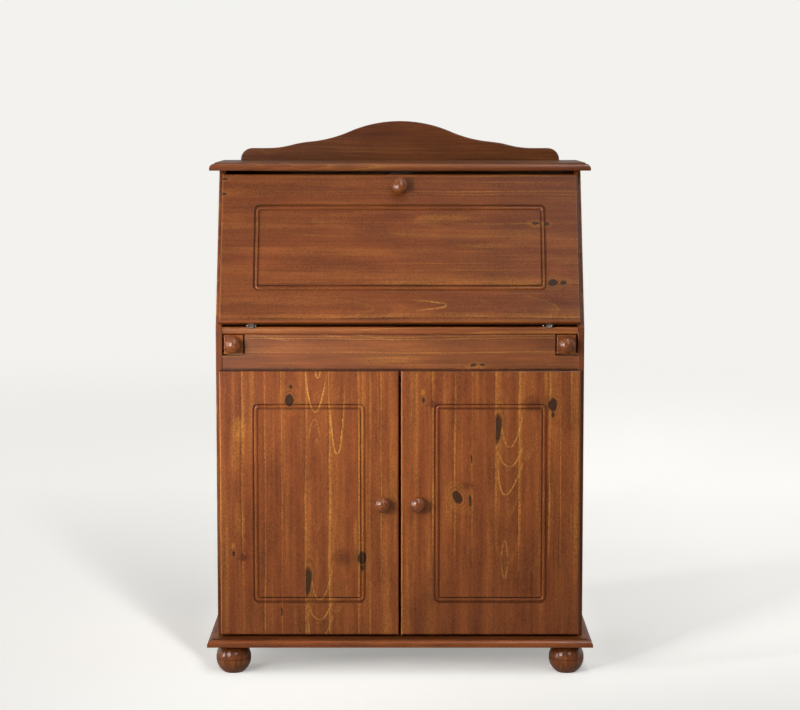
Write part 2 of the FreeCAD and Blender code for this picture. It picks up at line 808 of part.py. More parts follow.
def pigeonhole_shelf():
    """The fixed shelf over the pigeonholes."""
    front = back_panel_y - pigeonhole_depth
    low_z = desk_height + pigeonhole_height
    board = box(-inner_half, inner_half, front, back_panel_y, low_z, low_z + pigeonhole_t)
    return eased(board, shelf_ease, across_front(front))


def pigeonhole_divider(index):
    """One upright between the pigeonholes, counted from the left."""
    spacing = 2 * inner_half / (divider_count + 1)
    middle = spacing * (index + 1) - inner_half
    front = back_panel_y - pigeonhole_depth + divider_setback
    board = box(middle - pigeonhole_t / 2, middle + pigeonhole_t / 2, front, back_panel_y,
                desk_height, desk_height + pigeonhole_height)
    return eased(board, shelf_ease, lambda b: near(b.YMax, front) and b.ZMax - b.ZMin > pigeonhole_t)


joints = carcase_joints()
joint_holes = group([dowel(joint, along, seat_clearance) for joint, along in joints])
stud_holes = group([foot_stud(spot, seat_clearance) for spot in foot_spots.values()])
right_panel = right_side_panel().cut(joint_holes)
middle_of_desk = (desk_under_z + desk_height) / 2

nodes = {
    "base_board": moulded_board(front_y, back_y, foot_height).cut(joint_holes).cut(stud_holes),
    "top_board": moulded_board(top_front_y, back_y, upper_top_z).cut(joint_holes),
    "crest_board": crest_board().cut(joint_holes),
    "right_side_panel": right_panel,
    "left_side_panel": mirrored(right_panel),
    "desk_board": desk_board().cut(joint_holes),
    "apron_rail": apron_rail().cut(joint_holes),
    "lower_back_panel": back_panel(base_top_z, middle_of_desk),
    "upper_back_panel": back_panel(middle_of_desk, upper_top_z),
    "carcase_dowels": group([dowel(joint, along, 0) for joint, along in joints]),
    "foot_studs": group([foot_stud(spot, 0) for spot in foot_spots.values()]),
    "cupboard_shelf": cupboard_shelf(),
    "pigeonhole_shelf": pigeonhole_shelf(),
    "lid_panel": lid_panel(),
    "lid_knob": on_lid(lid_knob_place(knob(False))),
    "lid_knob_screw": on_lid(lid_knob_place(knob_screw())),
    "lid_hinge_leaves": group(both_lid_hinges(lid_hinge_leaf(), on_lid)),
    "lid_hinge_plates": group(both_lid_hinges(lid_hinge_plate_half(), on_desk)),
    "lid_hinge_pins": group(both_lid_hinges(lid_hinge_pin(0), on_lid)),
    "lid_strike_plate": lid_strike_plate(),
    "lid_catch": lid_catch(),
    "door_catch": door_catch(),
}
right_pins = [shelf_pin(spot, 0) for spot in shelf_pin_spots()]
nodes["shelf_pins"] = group(right_pins + [mirrored(pin) for pin in right_pins])
for place, spot in foot_spots.items():
    foot = ball_foot()
    foot.translate(spot)
    nodes[place + "_foot"] = foot.cut(stud_holes)
for index in range(divider_count):
    nodes["pigeonhole_divider_" + str(index + 1)] = pigeonhole_divider(index)

right_nodes = {
    "loper": right_loper(),
    "loper_knob": towards_front(knob(True), loper_middle),
    "loper_stop_peg": stop_peg(0),
    "loper_guide": right_loper_guide(),
    "loper_runner": right_loper_runner(),
    "door": right_door(),
    "door_knob": towards_front(knob(False), door_knob_spot),
    "door_knob_screw": towards_front(knob_screw(), door_knob_spot),
    "hinge_cups": group([hinge_cup(height) for height in door_hinge_heights]),
    "hinge_pins": group([hinge_pin(height, 0) for height in door_hinge_heights]),
    "hinge_arms": group([hinge_arm(height) for height in door_hinge_heights]),
    "hinge_blocks": group([hinge_block(height) for height in door_hinge_heights]),
    "strike_plate": right_strike_plate(),
}
for name, shape in right_nodes.items():
    nodes["right_" + name] = shape
    nodes["left_" + name] = mirrored(shape)

os.makedirs("parts", exist_ok=True)
for name, shape in nodes.items():
    shape.exportStep("parts/" + name + ".step")
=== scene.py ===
import math
import random
from functools import partial, reduce

import bmesh
import bpy
from bpy.props import FloatProperty, FloatVectorProperty, PointerProperty
from mathutils import Matrix, Vector


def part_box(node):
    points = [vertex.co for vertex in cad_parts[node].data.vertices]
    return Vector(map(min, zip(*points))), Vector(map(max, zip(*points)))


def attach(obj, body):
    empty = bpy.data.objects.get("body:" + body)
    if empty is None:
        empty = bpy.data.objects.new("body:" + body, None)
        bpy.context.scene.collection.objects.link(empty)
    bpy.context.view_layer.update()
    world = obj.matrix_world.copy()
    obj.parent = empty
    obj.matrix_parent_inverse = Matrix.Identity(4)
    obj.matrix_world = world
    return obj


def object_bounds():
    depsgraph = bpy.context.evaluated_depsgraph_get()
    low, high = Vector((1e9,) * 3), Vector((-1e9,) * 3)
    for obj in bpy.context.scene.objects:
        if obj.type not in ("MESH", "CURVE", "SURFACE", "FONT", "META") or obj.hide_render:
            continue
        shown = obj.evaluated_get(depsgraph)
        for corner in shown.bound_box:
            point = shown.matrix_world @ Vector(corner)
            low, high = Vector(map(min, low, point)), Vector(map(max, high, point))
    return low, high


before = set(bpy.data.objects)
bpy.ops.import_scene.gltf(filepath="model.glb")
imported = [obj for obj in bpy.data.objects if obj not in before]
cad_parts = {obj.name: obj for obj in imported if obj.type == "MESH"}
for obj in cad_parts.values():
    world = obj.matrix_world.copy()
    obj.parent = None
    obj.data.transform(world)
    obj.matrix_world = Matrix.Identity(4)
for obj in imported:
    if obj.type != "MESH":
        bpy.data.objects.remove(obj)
CAD_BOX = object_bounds()

bl_info = {
    "name": "Pine escritoire",
    "version": (1, 0, 0),
    "blender": (4, 5, 0),
    "location": "View3D > Sidebar > Escritoire",
    "description": "Stain, lacquer, fittings, small fixings and studio for a pine writing cabinet",
    "category": "Object",
}

MM = 0.001
X, Y, Z = Vector((1, 0, 0)), Vector((0, 1, 0)), Vector((0, 0, 1))
LID_RUN, LID_RISE = 132, 327
LID_SLOPE = math.atan2(LID_RUN, LID_RISE)
LID_UP = Vector((0, math.sin(LID_SLOPE), math.cos(LID_SLOPE)))


def linear(hex_colour):
    """An sRGB hex colour as linear red, green and blue."""
    parts = [int(hex_colour[i:i + 2], 16) / 255 for i in (1, 3, 5)]
    return tuple(c / 12.92 if c <= 0.04045 else ((c + 0.055) / 1.055) ** 2.4 for c in parts)


class PineFinish(bpy.types.PropertyGroup):
    """Colours and grain of the stained pine."""
    stain: FloatVectorProperty(name="Stain", description="Body of the red-brown stain", subtype="COLOR",
                               default=linear("#8a4b21"))
    dark_stain: FloatVectorProperty(name="Dark stain", description="Where the soft wood drank more stain",
                                    subtype="COLOR", default=linear("#753918"))
    golden: FloatVectorProperty(name="Golden", description="Resinous bands that took little stain",
                                subtype="COLOR", default=linear("#b8762f"))
    bright: FloatVectorProperty(name="Bright grain", description="Hard late wood lines",
                                subtype="COLOR", default=linear("#d0923f"))
    knot: FloatVectorProperty(name="Knot", description="Inside of a knot", subtype="COLOR",
                              default=linear("#2c1d0e"))
    knot_rim: FloatVectorProperty(name="Knot rim", description="Bark line round a knot", subtype="COLOR",
                                  default=linear("#170d06"))
    ring_gap: FloatProperty(name="Ring gap", description="Width of one year's growth", default=6.5 * MM,
                            unit="LENGTH")
    streak: FloatProperty(name="Streak", description="Width of a colour streak", default=22 * MM,
                          unit="LENGTH")
    fibre: FloatProperty(name="Fibre", description="Width of a bundle of fibres", default=2.4 * MM,
                         unit="LENGTH")
    lacquer_roughness: FloatProperty(name="Lacquer roughness", description="Roughness of the satin lacquer",
                                     default=0.36, min=0, max=1)


class FittingFinish(bpy.types.PropertyGroup):
    """Colours of the metal, plastic and sheet pieces."""
    nickel: FloatVectorProperty(name="Nickel", description="Nickel plating of the hinges", subtype="COLOR",
                                default=linear("#cfcbc2"))
    zinc: FloatVectorProperty(name="Zinc", description="Zinc plating of screws and plates", subtype="COLOR",
                              default=linear("#b9babb"))
    plastic: FloatVectorProperty(name="Catch plastic", description="Moulded brown plastic", subtype="COLOR",
                                 default=linear("#2b1e17"))
    hardboard: FloatVectorProperty(name="Hardboard", description="Pressed fibre back panels",
                                   subtype="COLOR", default=linear("#7d5538"))
    beech: FloatVectorProperty(name="Beech", description="Bare beech of pegs, guides and runners",
                               subtype="COLOR", default=linear("#c39a6b"))


class FixingSizes(bpy.types.PropertyGroup):
    """Sizes of the screws and nails."""
    head_d: FloatProperty(name="Screw head", description="Diameter of a screw head", default=6.4 * MM,
                          unit="LENGTH")
    head_t: FloatProperty(name="Head height", description="Height of a screw head", default=1.5 * MM,
                          unit="LENGTH")
    recess: FloatProperty(name="Recess", description="Width of the cross recess", default=0.9 * MM,
                          unit="LENGTH")
    nail_d: FloatProperty(name="Nail head", description="Diameter of a back panel nail's head",
                          default=5 * MM, unit="LENGTH")
    nail_t: FloatProperty(name="Nail head height", description="How far a nail's head stands proud",
                          default=0.6 * MM, unit="LENGTH")
    nail_gap: FloatProperty(name="Nail spacing", description="Distance between nails", default=95 * MM,
                            unit="LENGTH")


class StagePlan(bpy.types.PropertyGroup):
    """Floor, lights and camera."""
    paper: FloatVectorProperty(name="Paper", description="Floor and backdrop", subtype="COLOR",
                               default=linear("#f3f2ee"))
    floor: FloatProperty(name="Floor", description="Length of the floor's sides", default=16, unit="LENGTH")
    wall: FloatProperty(name="Wall", description="How high the paper goes up behind", default=7,
                        unit="LENGTH")
    camera_gap: FloatProperty(name="Camera distance", description="From the foremost knobs to the camera",
                              default=4.527, unit="LENGTH")
    camera_height: FloatProperty(name="Camera height", description="Camera above the floor", default=1.202,
                                 unit="LENGTH")
    camera_tilt: FloatProperty(name="Camera tilt", description="How far the camera looks down",
                               default=math.radians(5.41), unit="ROTATION")
    lens: FloatProperty(name="Lens", description="Focal length in millimetres", default=97.9)
    shift: FloatProperty(name="Shift", description="Vertical lens shift", default=-0.05)
    key_light: FloatProperty(name="Key light", description="Power of the near light on the left",
                             default=4.0, unit="POWER")
    edge_light: FloatProperty(name="Edge light", description="Power of the tall light on the left",
                              default=8, unit="POWER")
    right_strip: FloatProperty(name="Right strip", description="Power of the long light high on the right",
                               default=640, unit="POWER")
    far_light: FloatProperty(name="Far light", description="Strength of the far light on the left",
                             default=0.07)
    room: FloatProperty(name="Room light", description="Strength of the light from the front half",
                        default=0.15)
    rear: FloatProperty(name="Rear light", description="Strength of the light from the rear half",
                        default=0.5)
    glow: FloatProperty(name="Paper glow", description="Share of the paper's brightness that no shadow takes",
                        default=0.34)


def fill(node, links):
    """Links a node's inputs, given in their order or by their keys, from nodes (the first output in use) or
    sockets, or sets them to values. A range's are its value, low and high, and what they become."""
    for key, value in links.items() if isinstance(links, dict) else enumerate(links):
        if isinstance(value, bpy.types.Node):
            value = next(socket for socket in value.outputs if socket.enabled)
        if isinstance(value, bpy.types.NodeSocket):
            node.id_data.links.new(value, node.inputs[key])
        else:
            node.inputs[key].default_value = value


def add(tree, kind, links=(), operation=None, **settings):
    """A shader node with its inputs, its operation if it has one, and its other settings."""
    node = tree.nodes.new("ShaderNode" + kind)
    if operation:
        node.operation = operation
    for key, value in settings.items():
        setattr(node, key, value)
    fill(node, links)
    return node


def new_finish(name):
    """An empty material, what adds a node to it, and its shader."""
    finish = bpy.data.materials.new(name)
    finish.use_nodes = True
    return finish, partial(add, finish.node_tree), finish.node_tree.nodes["Principled BSDF"]


def set_ramp(ramp, stops, interpolation="LINEAR"):
    """Gives a colour ramp its stops: (place, (red, green, blue, alpha))."""
    ramp.interpolation = interpolation
    while len(ramp.elements) > 1:
        ramp.elements.remove(ramp.elements[-1])
    for index, (place, colour) in enumerate(stops):
        element = ramp.elements[0] if index == 0 else ramp.elements.new(min(max(place, 0), 1))
        element.position = min(max(place, 0), 1)
        element.color = colour


def mottle(node, sizes, detail, roughness=0.5):
    """A cloudy pattern on a piece, of a size along each axis."""
    spot = node("Mapping", {"Vector": node("TexCoord").outputs["Object"],
                            "Scale": [1 / size for size in sizes]})
    return node("TexNoise", {"Vector": spot, "Scale": 1.0, "Detail": detail, "Roughness": roughness})


def tinted(node, pattern, low, high, darkest, palest, colour):
    """A colour that goes from its darkest to its palest as a pattern goes from low to high."""
    value = node("MapRange", [pattern, low, high, darkest, palest])
    return node("HueSaturation", {"Value": value, "Color": colour})


def stain_colour(node, look, red, gold):
    """The stain, from dark to red and then to gold, by two shares."""
    colour = node("Mix", {0: red, 6: (*look.dark_stain, 1), 7: (*look.stain, 1)}, data_type="RGBA")
    return node("Mix", {0: gold, 6: colour, 7: (*look.golden, 1)}, data_type="RGBA")


def dress(finish, *names):
    """Gives nodes of the frame their finish."""
    for name in names:
        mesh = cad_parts[name].data
        mesh.materials.clear()
        mesh.materials.append(finish)


class Board:
    """How one board was glued up and sawn. Places are millimetres from the board's middle: across the
    grain, then along it. A stave is (far edge, pith across, pith depth, lean, tone, figure), a line
    (across, width, strength) and a knot (across, along, half width, half length) with its turn and the
    edge where it is cut, if any. The figure and the line run list (along, strength of the year lines or
    of the lines). An arch is (across, along, way it opens, growth, skew, length, strength), and a patch
    (across, along, half width, half length, gold above zero or dark below); some dark patches are
    painted shade. A dark face is (direction, share of the colour that is left), end grain unless told
    otherwise, and some are painted shade. The shade is the board's tone, with painted shade on some
    boards and painted light on others. The shares of the rubbed arrises say how much the left arrises
    and the others have: on the left this is painted highlight as well as rubbing, and below zero it is
    painted shade."""

    def __init__(self, node, along, across, seed, shift=(0, 0), knot_count=3, **choices):
        low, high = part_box(node)
        self.seed, self.along, self.across = seed, along, across
        self.middle = (low + high) / 2
        self.turn = Matrix((across, along.cross(across), along))
        reach = [Vector((x, y, z)) - self.middle for x in (low.x, high.x) for y in (low.y, high.y)
                 for z in (low.z, high.z)]
        self.half_width = max(abs(p.dot(across)) for p in reach) / MM
        self.half_length = max(abs(p.dot(along)) for p in reach) / MM
        self.shift = Vector((shift[0], 0, shift[1]))
        self.chance = random.Random(seed)
        self.staves = self.chance_staves()
        self.lines = self.chance_lines()
        self.knots = self.chance_knots(knot_count)
        self.figure = self.line_run = [(0, 1.0)]
        self.arches = self.patches = ()
        self.shade, self.contrast, self.speck, self.gold, self.shine = 1.0, 0.9, 0.8, 0.3, 0.2
        self.wear_and_painted_light, self.wear_and_painted_light_shares = 0.4, (1, 1)
        self.dark_faces = [(along, 0.45)]
        vars(self).update(choices)

    def chance_staves(self):
        """Staves of about 55 to 105 mm, some cut through the heart and some beside it."""
        staves, edge = [], -self.half_width
        while edge < self.half_width:
            width = self.chance.uniform(55, 105)
            middle = edge + width / 2
            edge += width
            heart = self.chance.random() < 0.5
            aside = 8 if heart else self.chance.choice((-1, 1)) * self.chance.uniform(90, 190)
            lean = self.chance.choice((-1, 1)) * self.chance.uniform(0.04, 0.13)
            staves.append((edge, middle + aside, self.chance.uniform(20, 60), lean if heart else lean / 5,
                           self.chance.uniform(-0.07, 0.07), self.chance.uniform(0.25, 0.8)))
        return staves

    def chance_lines(self):
        """Some long resinous lines."""
        count = max(3, min(9, int(self.half_width / 20)))
        return [(self.chance.uniform(-1, 1) * self.half_width, self.chance.uniform(1.2, 4.5),
                 self.chance.uniform(0.25, 0.8)) for _ in range(count)]

    def chance_knots(self, count):
        """Some knots, each a dark oval."""
        return [(self.chance.uniform(-0.9, 0.9) * self.half_width,
                 self.chance.uniform(-0.92, 0.92) * self.half_length,
                 self.chance.uniform(3, 8), self.chance.uniform(5, 14),
                 self.chance.uniform(-0.4, 0.4)) for _ in range(count)]


class Figure:
    """What grew in a board and what the stain made of it, as shader nodes in the board's millimetres."""
    # How far the grain strays and the arches fray, and how ragged knots and patches are
    WANDER, FRAY, RAGGED = 12.0, 3.0, (5, 0, 9)
    # Knots and patches go right through the board
    THROUGH = 1e6
    # A colour ramp holds the place of a stave's heart as a share of this span
    HEART_SPAN = 1000.0
    # A colour ramp holds 32 stops, and a line takes four
    MOST_LINES = 8
    # Across an arch: its dark inside, then the pale line
    ARCH_WIDTH = 5.0
    ARCH_STOPS = ((0.15, (0, 0, 0, 1)), (0.4, (0, 1, 0, 1)), (0.47, (0.85, 0, 0, 1)),
                  (0.53, (0.75, 0, 0, 1)), (0.9, (0, 0, 0, 1)))

    def __init__(self, board, node):
        self.board, self.node = board, node
        self.look = bpy.context.scene.pine_finish
        self.seed = (board.seed * 7.31, board.seed * 3.17, board.seed * 5.53)
        self.half_width = board.half_width + abs(board.shift.x)
        self.half_length = board.half_length + abs(board.shift.z)
        coordinates = node("TexCoord")
        self.normal = coordinates.outputs["Normal"]
        self.spot = node("Mapping", {"Vector": coordinates.outputs["Object"], "Scale": (1 / MM,) * 3,
                                     "Rotation": board.turn.to_euler(),
                                     "Location": -(board.turn @ board.middle) / MM - board.shift})
        self.across, self.deep, self.along = node("SeparateXYZ", [self.spot]).outputs

        # The grain wanders a few millimetres over a hand's length
        wander = self.pattern(70, 330, 3.0)
        bent = node("Math", [wander, self.WANDER, self.across], "MULTIPLY_ADD")
        self.bent = node("Math", [bent, self.WANDER / 2], "SUBTRACT")
        rough = self.pattern(9, 14, 2.0).outputs["Color"]
        self.ragged = node("VectorMath", [rough, self.RAGGED, self.spot], "MULTIPLY_ADD")
        # The lines fade in and out along the board
        self.fade = node("MapRange", [self.pattern(28, 160, 2.0), 0.4, 0.6, 0.15])
        # Flecks of the brushed stain, drawn a few times coarser than they are so that they show
        self.fleck = self.pattern(2, 4, 2.0, 0.7)
        # A fibre is too fine to show from across a room, so it is drawn as a bundle
        fibre = self.look.fibre / MM
        self.fibre = self.pattern(fibre, fibre * 26, 2.0)

    def pattern(self, across, along, detail, roughness=0.5):
        """A cloudy pattern drawn out along the grain, of a size across it and a size along it."""
        place = self.node("VectorMath", [self.spot, (1 / across, 1 / across, 1 / along), self.seed],
                          "MULTIPLY_ADD")
        return self.node("TexNoise", {"Vector": place, "Scale": 1.0, "Detail": detail,
                                      "Roughness": roughness})

    def joined(self, parts, operation):
        """Values joined one after the other, or nothing where there are none."""
        def join(first, second):
            return self.node("Math", [first, second], operation)
        return reduce(join, parts) if parts else None

    def ramp(self, place, half, stops, interpolation="LINEAR"):
        """Colours that change with a place from minus half to half."""
        share = self.node("MapRange", [place, -half, half])
        ramp = self.node("ValToRGB", [share])
        set_ramp(ramp.color_ramp, stops, interpolation)
        return ramp

    def bands(self, *place_and_stops):
        """Three strengths that change with a place, held as the red, green and blue of a ramp."""
        return self.node("SeparateColor", [self.ramp(*place_and_stops)]).outputs

    def run(self, levels):
        """A strength that changes along the board."""
        length = self.half_length
        stops = [((along + length) / (2 * length), (level,) * 3 + (1,)) for along, level in levels]
        return self.ramp(self.along, length, stops, "EASE")

    def oval(self, across, along, half_width, half_length, turn=0):
        """The distance from the middle of a ragged oval, in its own size."""
        size = half_width, self.THROUGH, half_length
        place = self.node("Mapping", {"Vector": self.ragged, "Location": (across, 0, along),
                                      "Rotation": (0, turn, 0), "Scale": size}, vector_type="TEXTURE")
        return self.node("VectorMath", [place], "LENGTH")

    def facing(self, direction):
        """How squarely the surface looks along a direction, either way."""
        turned = self.node("VectorMath", [self.normal, direction], "DOT_PRODUCT")
        return self.node("Math", [turned], "ABSOLUTE")

    def knot(self, across, along, half_width, half_length, turn=0, cut=None):
        """The distance from a knot, in its own size."""
        middle = across + self.RAGGED[0] / 2, along + self.RAGGED[2] / 2
        gap = self.oval(*middle, half_width, half_length, turn)
        if cut is None:
            return gap
        beyond = self.node("Math", [self.across, -1.5, 1.5 * cut], "MULTIPLY_ADD")
        return self.node("Math", [gap, beyond], "MAXIMUM")

    def staves(self):
        """For each stave, where the heart of the tree lay below it, and its tone, figure and number."""
        hearts, tones, start, width = [], [], 0.0, self.half_width
        for number, (edge, pith_across, pith_depth, lean, tone, figure) in enumerate(self.board.staves):
            hearts.append((start, (0.5 + pith_across / self.HEART_SPAN, 0.5 + pith_depth / self.HEART_SPAN,
                                   0.5 + lean, 1)))
            tones.append((start, (0.5 + tone, figure, (number * 0.37 + 0.11) % 1, 1)))
            start = (edge + width) / (2 * width)
        return [self.bands(self.across, width, stops, "CONSTANT") for stops in (hearts, tones)]

    def rings(self, near, heart, tone):
        """The late wood of the year rings, which are counted from the heart and swell round the knots."""
        node, span = self.node, self.HEART_SPAN
        swell = node("MapRange", [near, 0.6, 3.2, 11.0, 0.0], interpolation_type="SMOOTHERSTEP")
        lean = node("Math", [heart[2], 0.5], "SUBTRACT")
        depth = node("Math", [heart[1], span, -span / 2], "MULTIPLY_ADD")
        depth = node("Math", [lean, self.along, depth], "MULTIPLY_ADD")
        depth = node("Math", [depth, self.deep], "ADD")
        pith = node("Math", [heart[0], -span, span / 2], "MULTIPLY_ADD")
        aside = node("Math", [self.bent, pith], "ADD")
        ray = node("CombineXYZ", [aside, depth])
        ring = node("VectorMath", [ray], "LENGTH")
        ring = node("Math", [ring, swell], "ADD")
        ring = node("Math", [ring, self.look.ring_gap / MM], "DIVIDE")
        year = node("Math", [ring], "FLOOR")
        season = node("Math", [ring], "FRACT")
        late = node("Math", [season, 4.0], "POWER")
        year = node("CombineXYZ", [year, tone[2]])
        chance = node("TexWhiteNoise", {"Vector": year}, noise_dimensions="2D")
        chance = node("Math", [chance, 2.0], "POWER")
        late = self.joined((late, chance, tone[1]), "MULTIPLY")
        late = node("Math", [late, self.fade], "MULTIPLY", use_clamp=True)
        return node("Math", [late, self.run(self.board.figure)], "MULTIPLY")

    def arches(self, late):
        """Year lines that close in a V or a U: pale with the other late wood, and a dark line inside."""
        node, pales, darks = self.node, [late], []
        frayed = node("Math", [self.fleck, self.FRAY, self.bent], "MULTIPLY_ADD")
        frayed = node("Math", [frayed, self.FRAY / 2], "SUBTRACT")
        for tip_across, tip_along, way, growth, skew, length, strength in self.board.arches:
            rise = node("Math", [self.along, way, -way * tip_along], "MULTIPLY_ADD")
            half = node("Math", [rise, 0.0], "MAXIMUM")
            steep = node("Math", [half, 0.5], "ADD")
            steep = node("Math", [growth * growth / 4, steep], "DIVIDE")
            steep = node("Math", [steep, 1.0], "ADD")
            steep = node("Math", [steep], "SQRT")
            half = node("Math", [half], "SQRT")
            side = node("Math", [rise, -skew, frayed], "MULTIPLY_ADD")
            side = node("Math", [side, tip_across], "SUBTRACT")
            side = node("Math", [side], "ABSOLUTE")
            gap = node("Math", [half, -growth, side], "MULTIPLY_ADD")
            gap = node("Math", [gap, steep], "DIVIDE")
            reach = node("MapRange", [rise, length * 0.5, length, strength, 0.0])
            start = node("MapRange", [rise, -2.0, 0.0])
            reach = node("Math", [reach, start], "MULTIPLY")
            pale, dark, _ = self.bands(gap, self.ARCH_WIDTH, self.ARCH_STOPS)
            pales.append(node("Math", [pale, reach], "MULTIPLY"))
            darks.append(node("Math", [dark, reach], "MULTIPLY"))
        return self.joined(pales, "MAXIMUM"), self.joined(darks, "MAXIMUM")

    def lines(self):
        """Resinous lines at their own places across the board, and the dark edge of each."""
        stops, width = [], self.half_width
        for across, line_width, strength in sorted(self.board.lines)[:self.MOST_LINES]:
            for side, pale, dark in ((-0.8, 0, 0), (-0.2, 0, strength), (0, strength, 0), (1.2, 0, 0)):
                stops.append(((across + side * line_width + width) / (2 * width), (pale, dark, 0, 1)))
        resin, edge, _ = self.bands(self.bent, width, sorted(stops, key=lambda stop: stop[0]))
        strong = self.node("Math", [self.fade, 0.4], "ADD")
        resin = self.joined((resin, strong, self.run(self.board.line_run)), "MULTIPLY")
        return resin, self.node("Math", [edge, self.fade], "MULTIPLY")

    def patches(self):
        """Where the stain took badly, above zero, or well, below; some of the dark ones are painted shade."""
        soft = [self.node("MapRange", [self.oval(*place), 0.2, 1.2, strength, 0.0],
                          interpolation_type="SMOOTHSTEP") for *place, strength in self.board.patches]
        return self.joined(soft, "ADD")

    def value(self, tone, edge, shadow, patch):
        """How pale the stain is: fibres, flecks, the clouds of a wiped stain, dark lines, and smears of which
        some are painted shade.
        """
        board, node = self.board, self.node
        value = node("MapRange", [self.pattern(45, 120, 3.0), 0.3, 0.7, -0.17, 0.17])
        patterns = [(self.fibre, 0.75 * board.contrast), (self.pattern(6, 210, 2.0), 0.8 * board.contrast),
                    (self.fleck, board.speck)]
        marks = [(edge, -0.55)]
        if shadow is not None:
            marks.append((shadow, -0.3))
        if patch is not None:
            marks.append((node("Math", [patch, 0.0], "MINIMUM"), 0.5))
        for part, weight in patterns + marks:
            value = node("Math", [part, weight, value], "MULTIPLY_ADD")
        value = node("Math", [tone, value], "ADD")
        middle = sum(weight for _, weight in patterns) / 2
        value = node("Math", [value, middle - 0.5], "SUBTRACT")
        # The board's shade: its tone, with painted shade on some boards and painted light on others, against
        # how the lamps fall on them
        return node("Math", [value, board.shade], "MULTIPLY")

    def wear_and_painted_light(self):
        """The rounded arrises, which face none of the board's three ways, are rubbed pale by hands. Near the
        board's edge the arrises facing left take a larger share as painted highlight, and the others a share
        that some boards set below zero as painted shade; the mouldings further in have their own share,
        partly painted highlight on the grooves."""
        board, node, rims = self.board, self.node, []
        for place, shift, half in ((self.across, board.shift.x, board.half_width),
                                   (self.along, board.shift.z, board.half_length)):
            rim = node("Math", [place, shift], "ADD")
            rim = node("Math", [rim], "ABSOLUTE")
            rims.append(node("Math", [rim, half], "SUBTRACT"))
        # Painted highlight and shade: arrises that face left take the first share, the others the second
        left = node("VectorMath", [self.normal, X], "DOT_PRODUCT")
        shares = [board.wear_and_painted_light * share for share in board.wear_and_painted_light_shares]
        wear_and_painted_light = node("MapRange", [left, -0.5, -0.1, *shares])
        parts = [node("MapRange", [self.joined(rims, "MAXIMUM"), -6.0, -5.0, 0.45, wear_and_painted_light])]
        for direction in (board.along, board.across, board.along.cross(board.across)):
            parts.append(node("MapRange", [self.facing(direction), 0.8, 0.98, 1.0, 0.0]))
        return self.joined(parts, "MULTIPLY")

    def shaded(self, value):
        """The value where faces are dark, on rubbed arrises with their painted highlight and shade, and with
        painted shade in corners and gaps.
        """
        node, shares = self.node, [value]
        # End grain and sawn edges drink the stain and are darker; the doors' top and bottom faces and the
        # apron's top and bottom edges are darkened further as painted shade
        for direction, left in self.board.dark_faces:
            shares.append(node("MapRange", [self.facing(direction), 0.4, 0.95, 1.0, left]))
        value = self.joined(shares, "MULTIPLY")
        # Rubbed arrises lighten the value, the left ones also as painted highlight, and a share below zero
        # darkens as painted shade
        value = node("Math", [self.wear_and_painted_light(), value, value], "MULTIPLY_ADD")
        # Painted shade: ambient occlusion darkens the colour in corners, grooves and the gaps between parts
        corner = node("AmbientOcclusion", {"Distance": 8 * MM}, samples=8)
        corner = node("MapRange", [corner.outputs["AO"], 0.25, 0.8, 0.66, 1.0])
        return node("Math", [value, corner], "MULTIPLY")


def stained_pine(board, name):
    """Knotty pine, planed, glued up from staves, stained red-brown and lacquered: soft streaks of gold and
    red along the grain, thin bright year lines that arch where a stave was cut through the heart, dark
    knots that the lines flow round, and the soft shine of satin lacquer."""
    look = bpy.context.scene.pine_finish
    finish, node, shader = new_finish(name)
    figure = Figure(board, node)
    near = figure.joined([figure.knot(*knot) for knot in board.knots], "MINIMUM")
    heart, tone = figure.staves()
    late, shadow = figure.arches(figure.rings(near, heart, tone))
    resin, edge = figure.lines()
    patch = figure.patches()

    # Soft streaks, the resinous lines and the patches, all broken up by flecks
    width = look.streak / MM
    streak = figure.pattern(width, width * 28, 3.0, 0.55)
    red = node("MapRange", [streak, 0.28, 0.66])
    gold = node("MapRange", [streak, 0.52, 0.72, 0.0, board.gold])
    gold = node("Math", [gold, resin], "ADD", use_clamp=True)
    if patch is not None:
        gold = node("Math", [gold, patch], "ADD", use_clamp=True)
    flecked = node("MapRange", [figure.fleck, 0.38, 0.58, 0.45])
    gold = node("Math", [gold, flecked], "MULTIPLY")
    late = node("Math", [late, flecked], "MULTIPLY")
    colour = stain_colour(node, look, red, gold)
    colour = node("Mix", {0: late, 6: colour, 7: (*look.bright, 1)}, data_type="RGBA")
    value = figure.shaded(figure.value(tone[0], edge, shadow, patch))
    colour = node("HueSaturation", {"Value": value, "Color": colour})

    # Knots, out to four times their size: the heart, the bark, then paler and darker rings
    share = node("Math", [near, 4.0], "DIVIDE")
    knots = node("ValToRGB", [share])
    set_ramp(knots.color_ramp, [
        (0.0, (*look.knot, 0.9)), (0.13, (*look.knot, 0.9)), (0.2, (*look.knot_rim, 0.88)),
        (0.27, (*look.knot_rim, 0.5)), (0.33, (*look.golden, 0.25)), (0.39, (*look.knot_rim, 0.3)),
        (0.46, (*look.golden, 0.15)), (0.54, (*look.dark_stain, 0.35)), (0.62, (*look.golden, 0.1)),
        (0.72, (*look.dark_stain, 0.22)), (0.95, (*look.dark_stain, 0))])
    colour = node("Mix", {0: knots.outputs["Alpha"], 6: colour, 7: knots.outputs["Color"]}, data_type="RGBA")
    bump = node("Bump", {"Height": figure.fibre, "Strength": 0.12, "Distance": 0.3 * MM})
    fill(shader, {"Base Color": colour, "Normal": bump, "Roughness": look.lacquer_roughness,
                  "Specular IOR Level": board.shine, "Coat Weight": 0.4, "Coat Roughness": 0.1})
    return finish


def dress_board(name, *way_and_seed, **choices):
    """Gives a board of the frame its own stained pine."""
    dress(stained_pine(Board(name, *way_and_seed, **choices), "stained_pine_" + name), name)
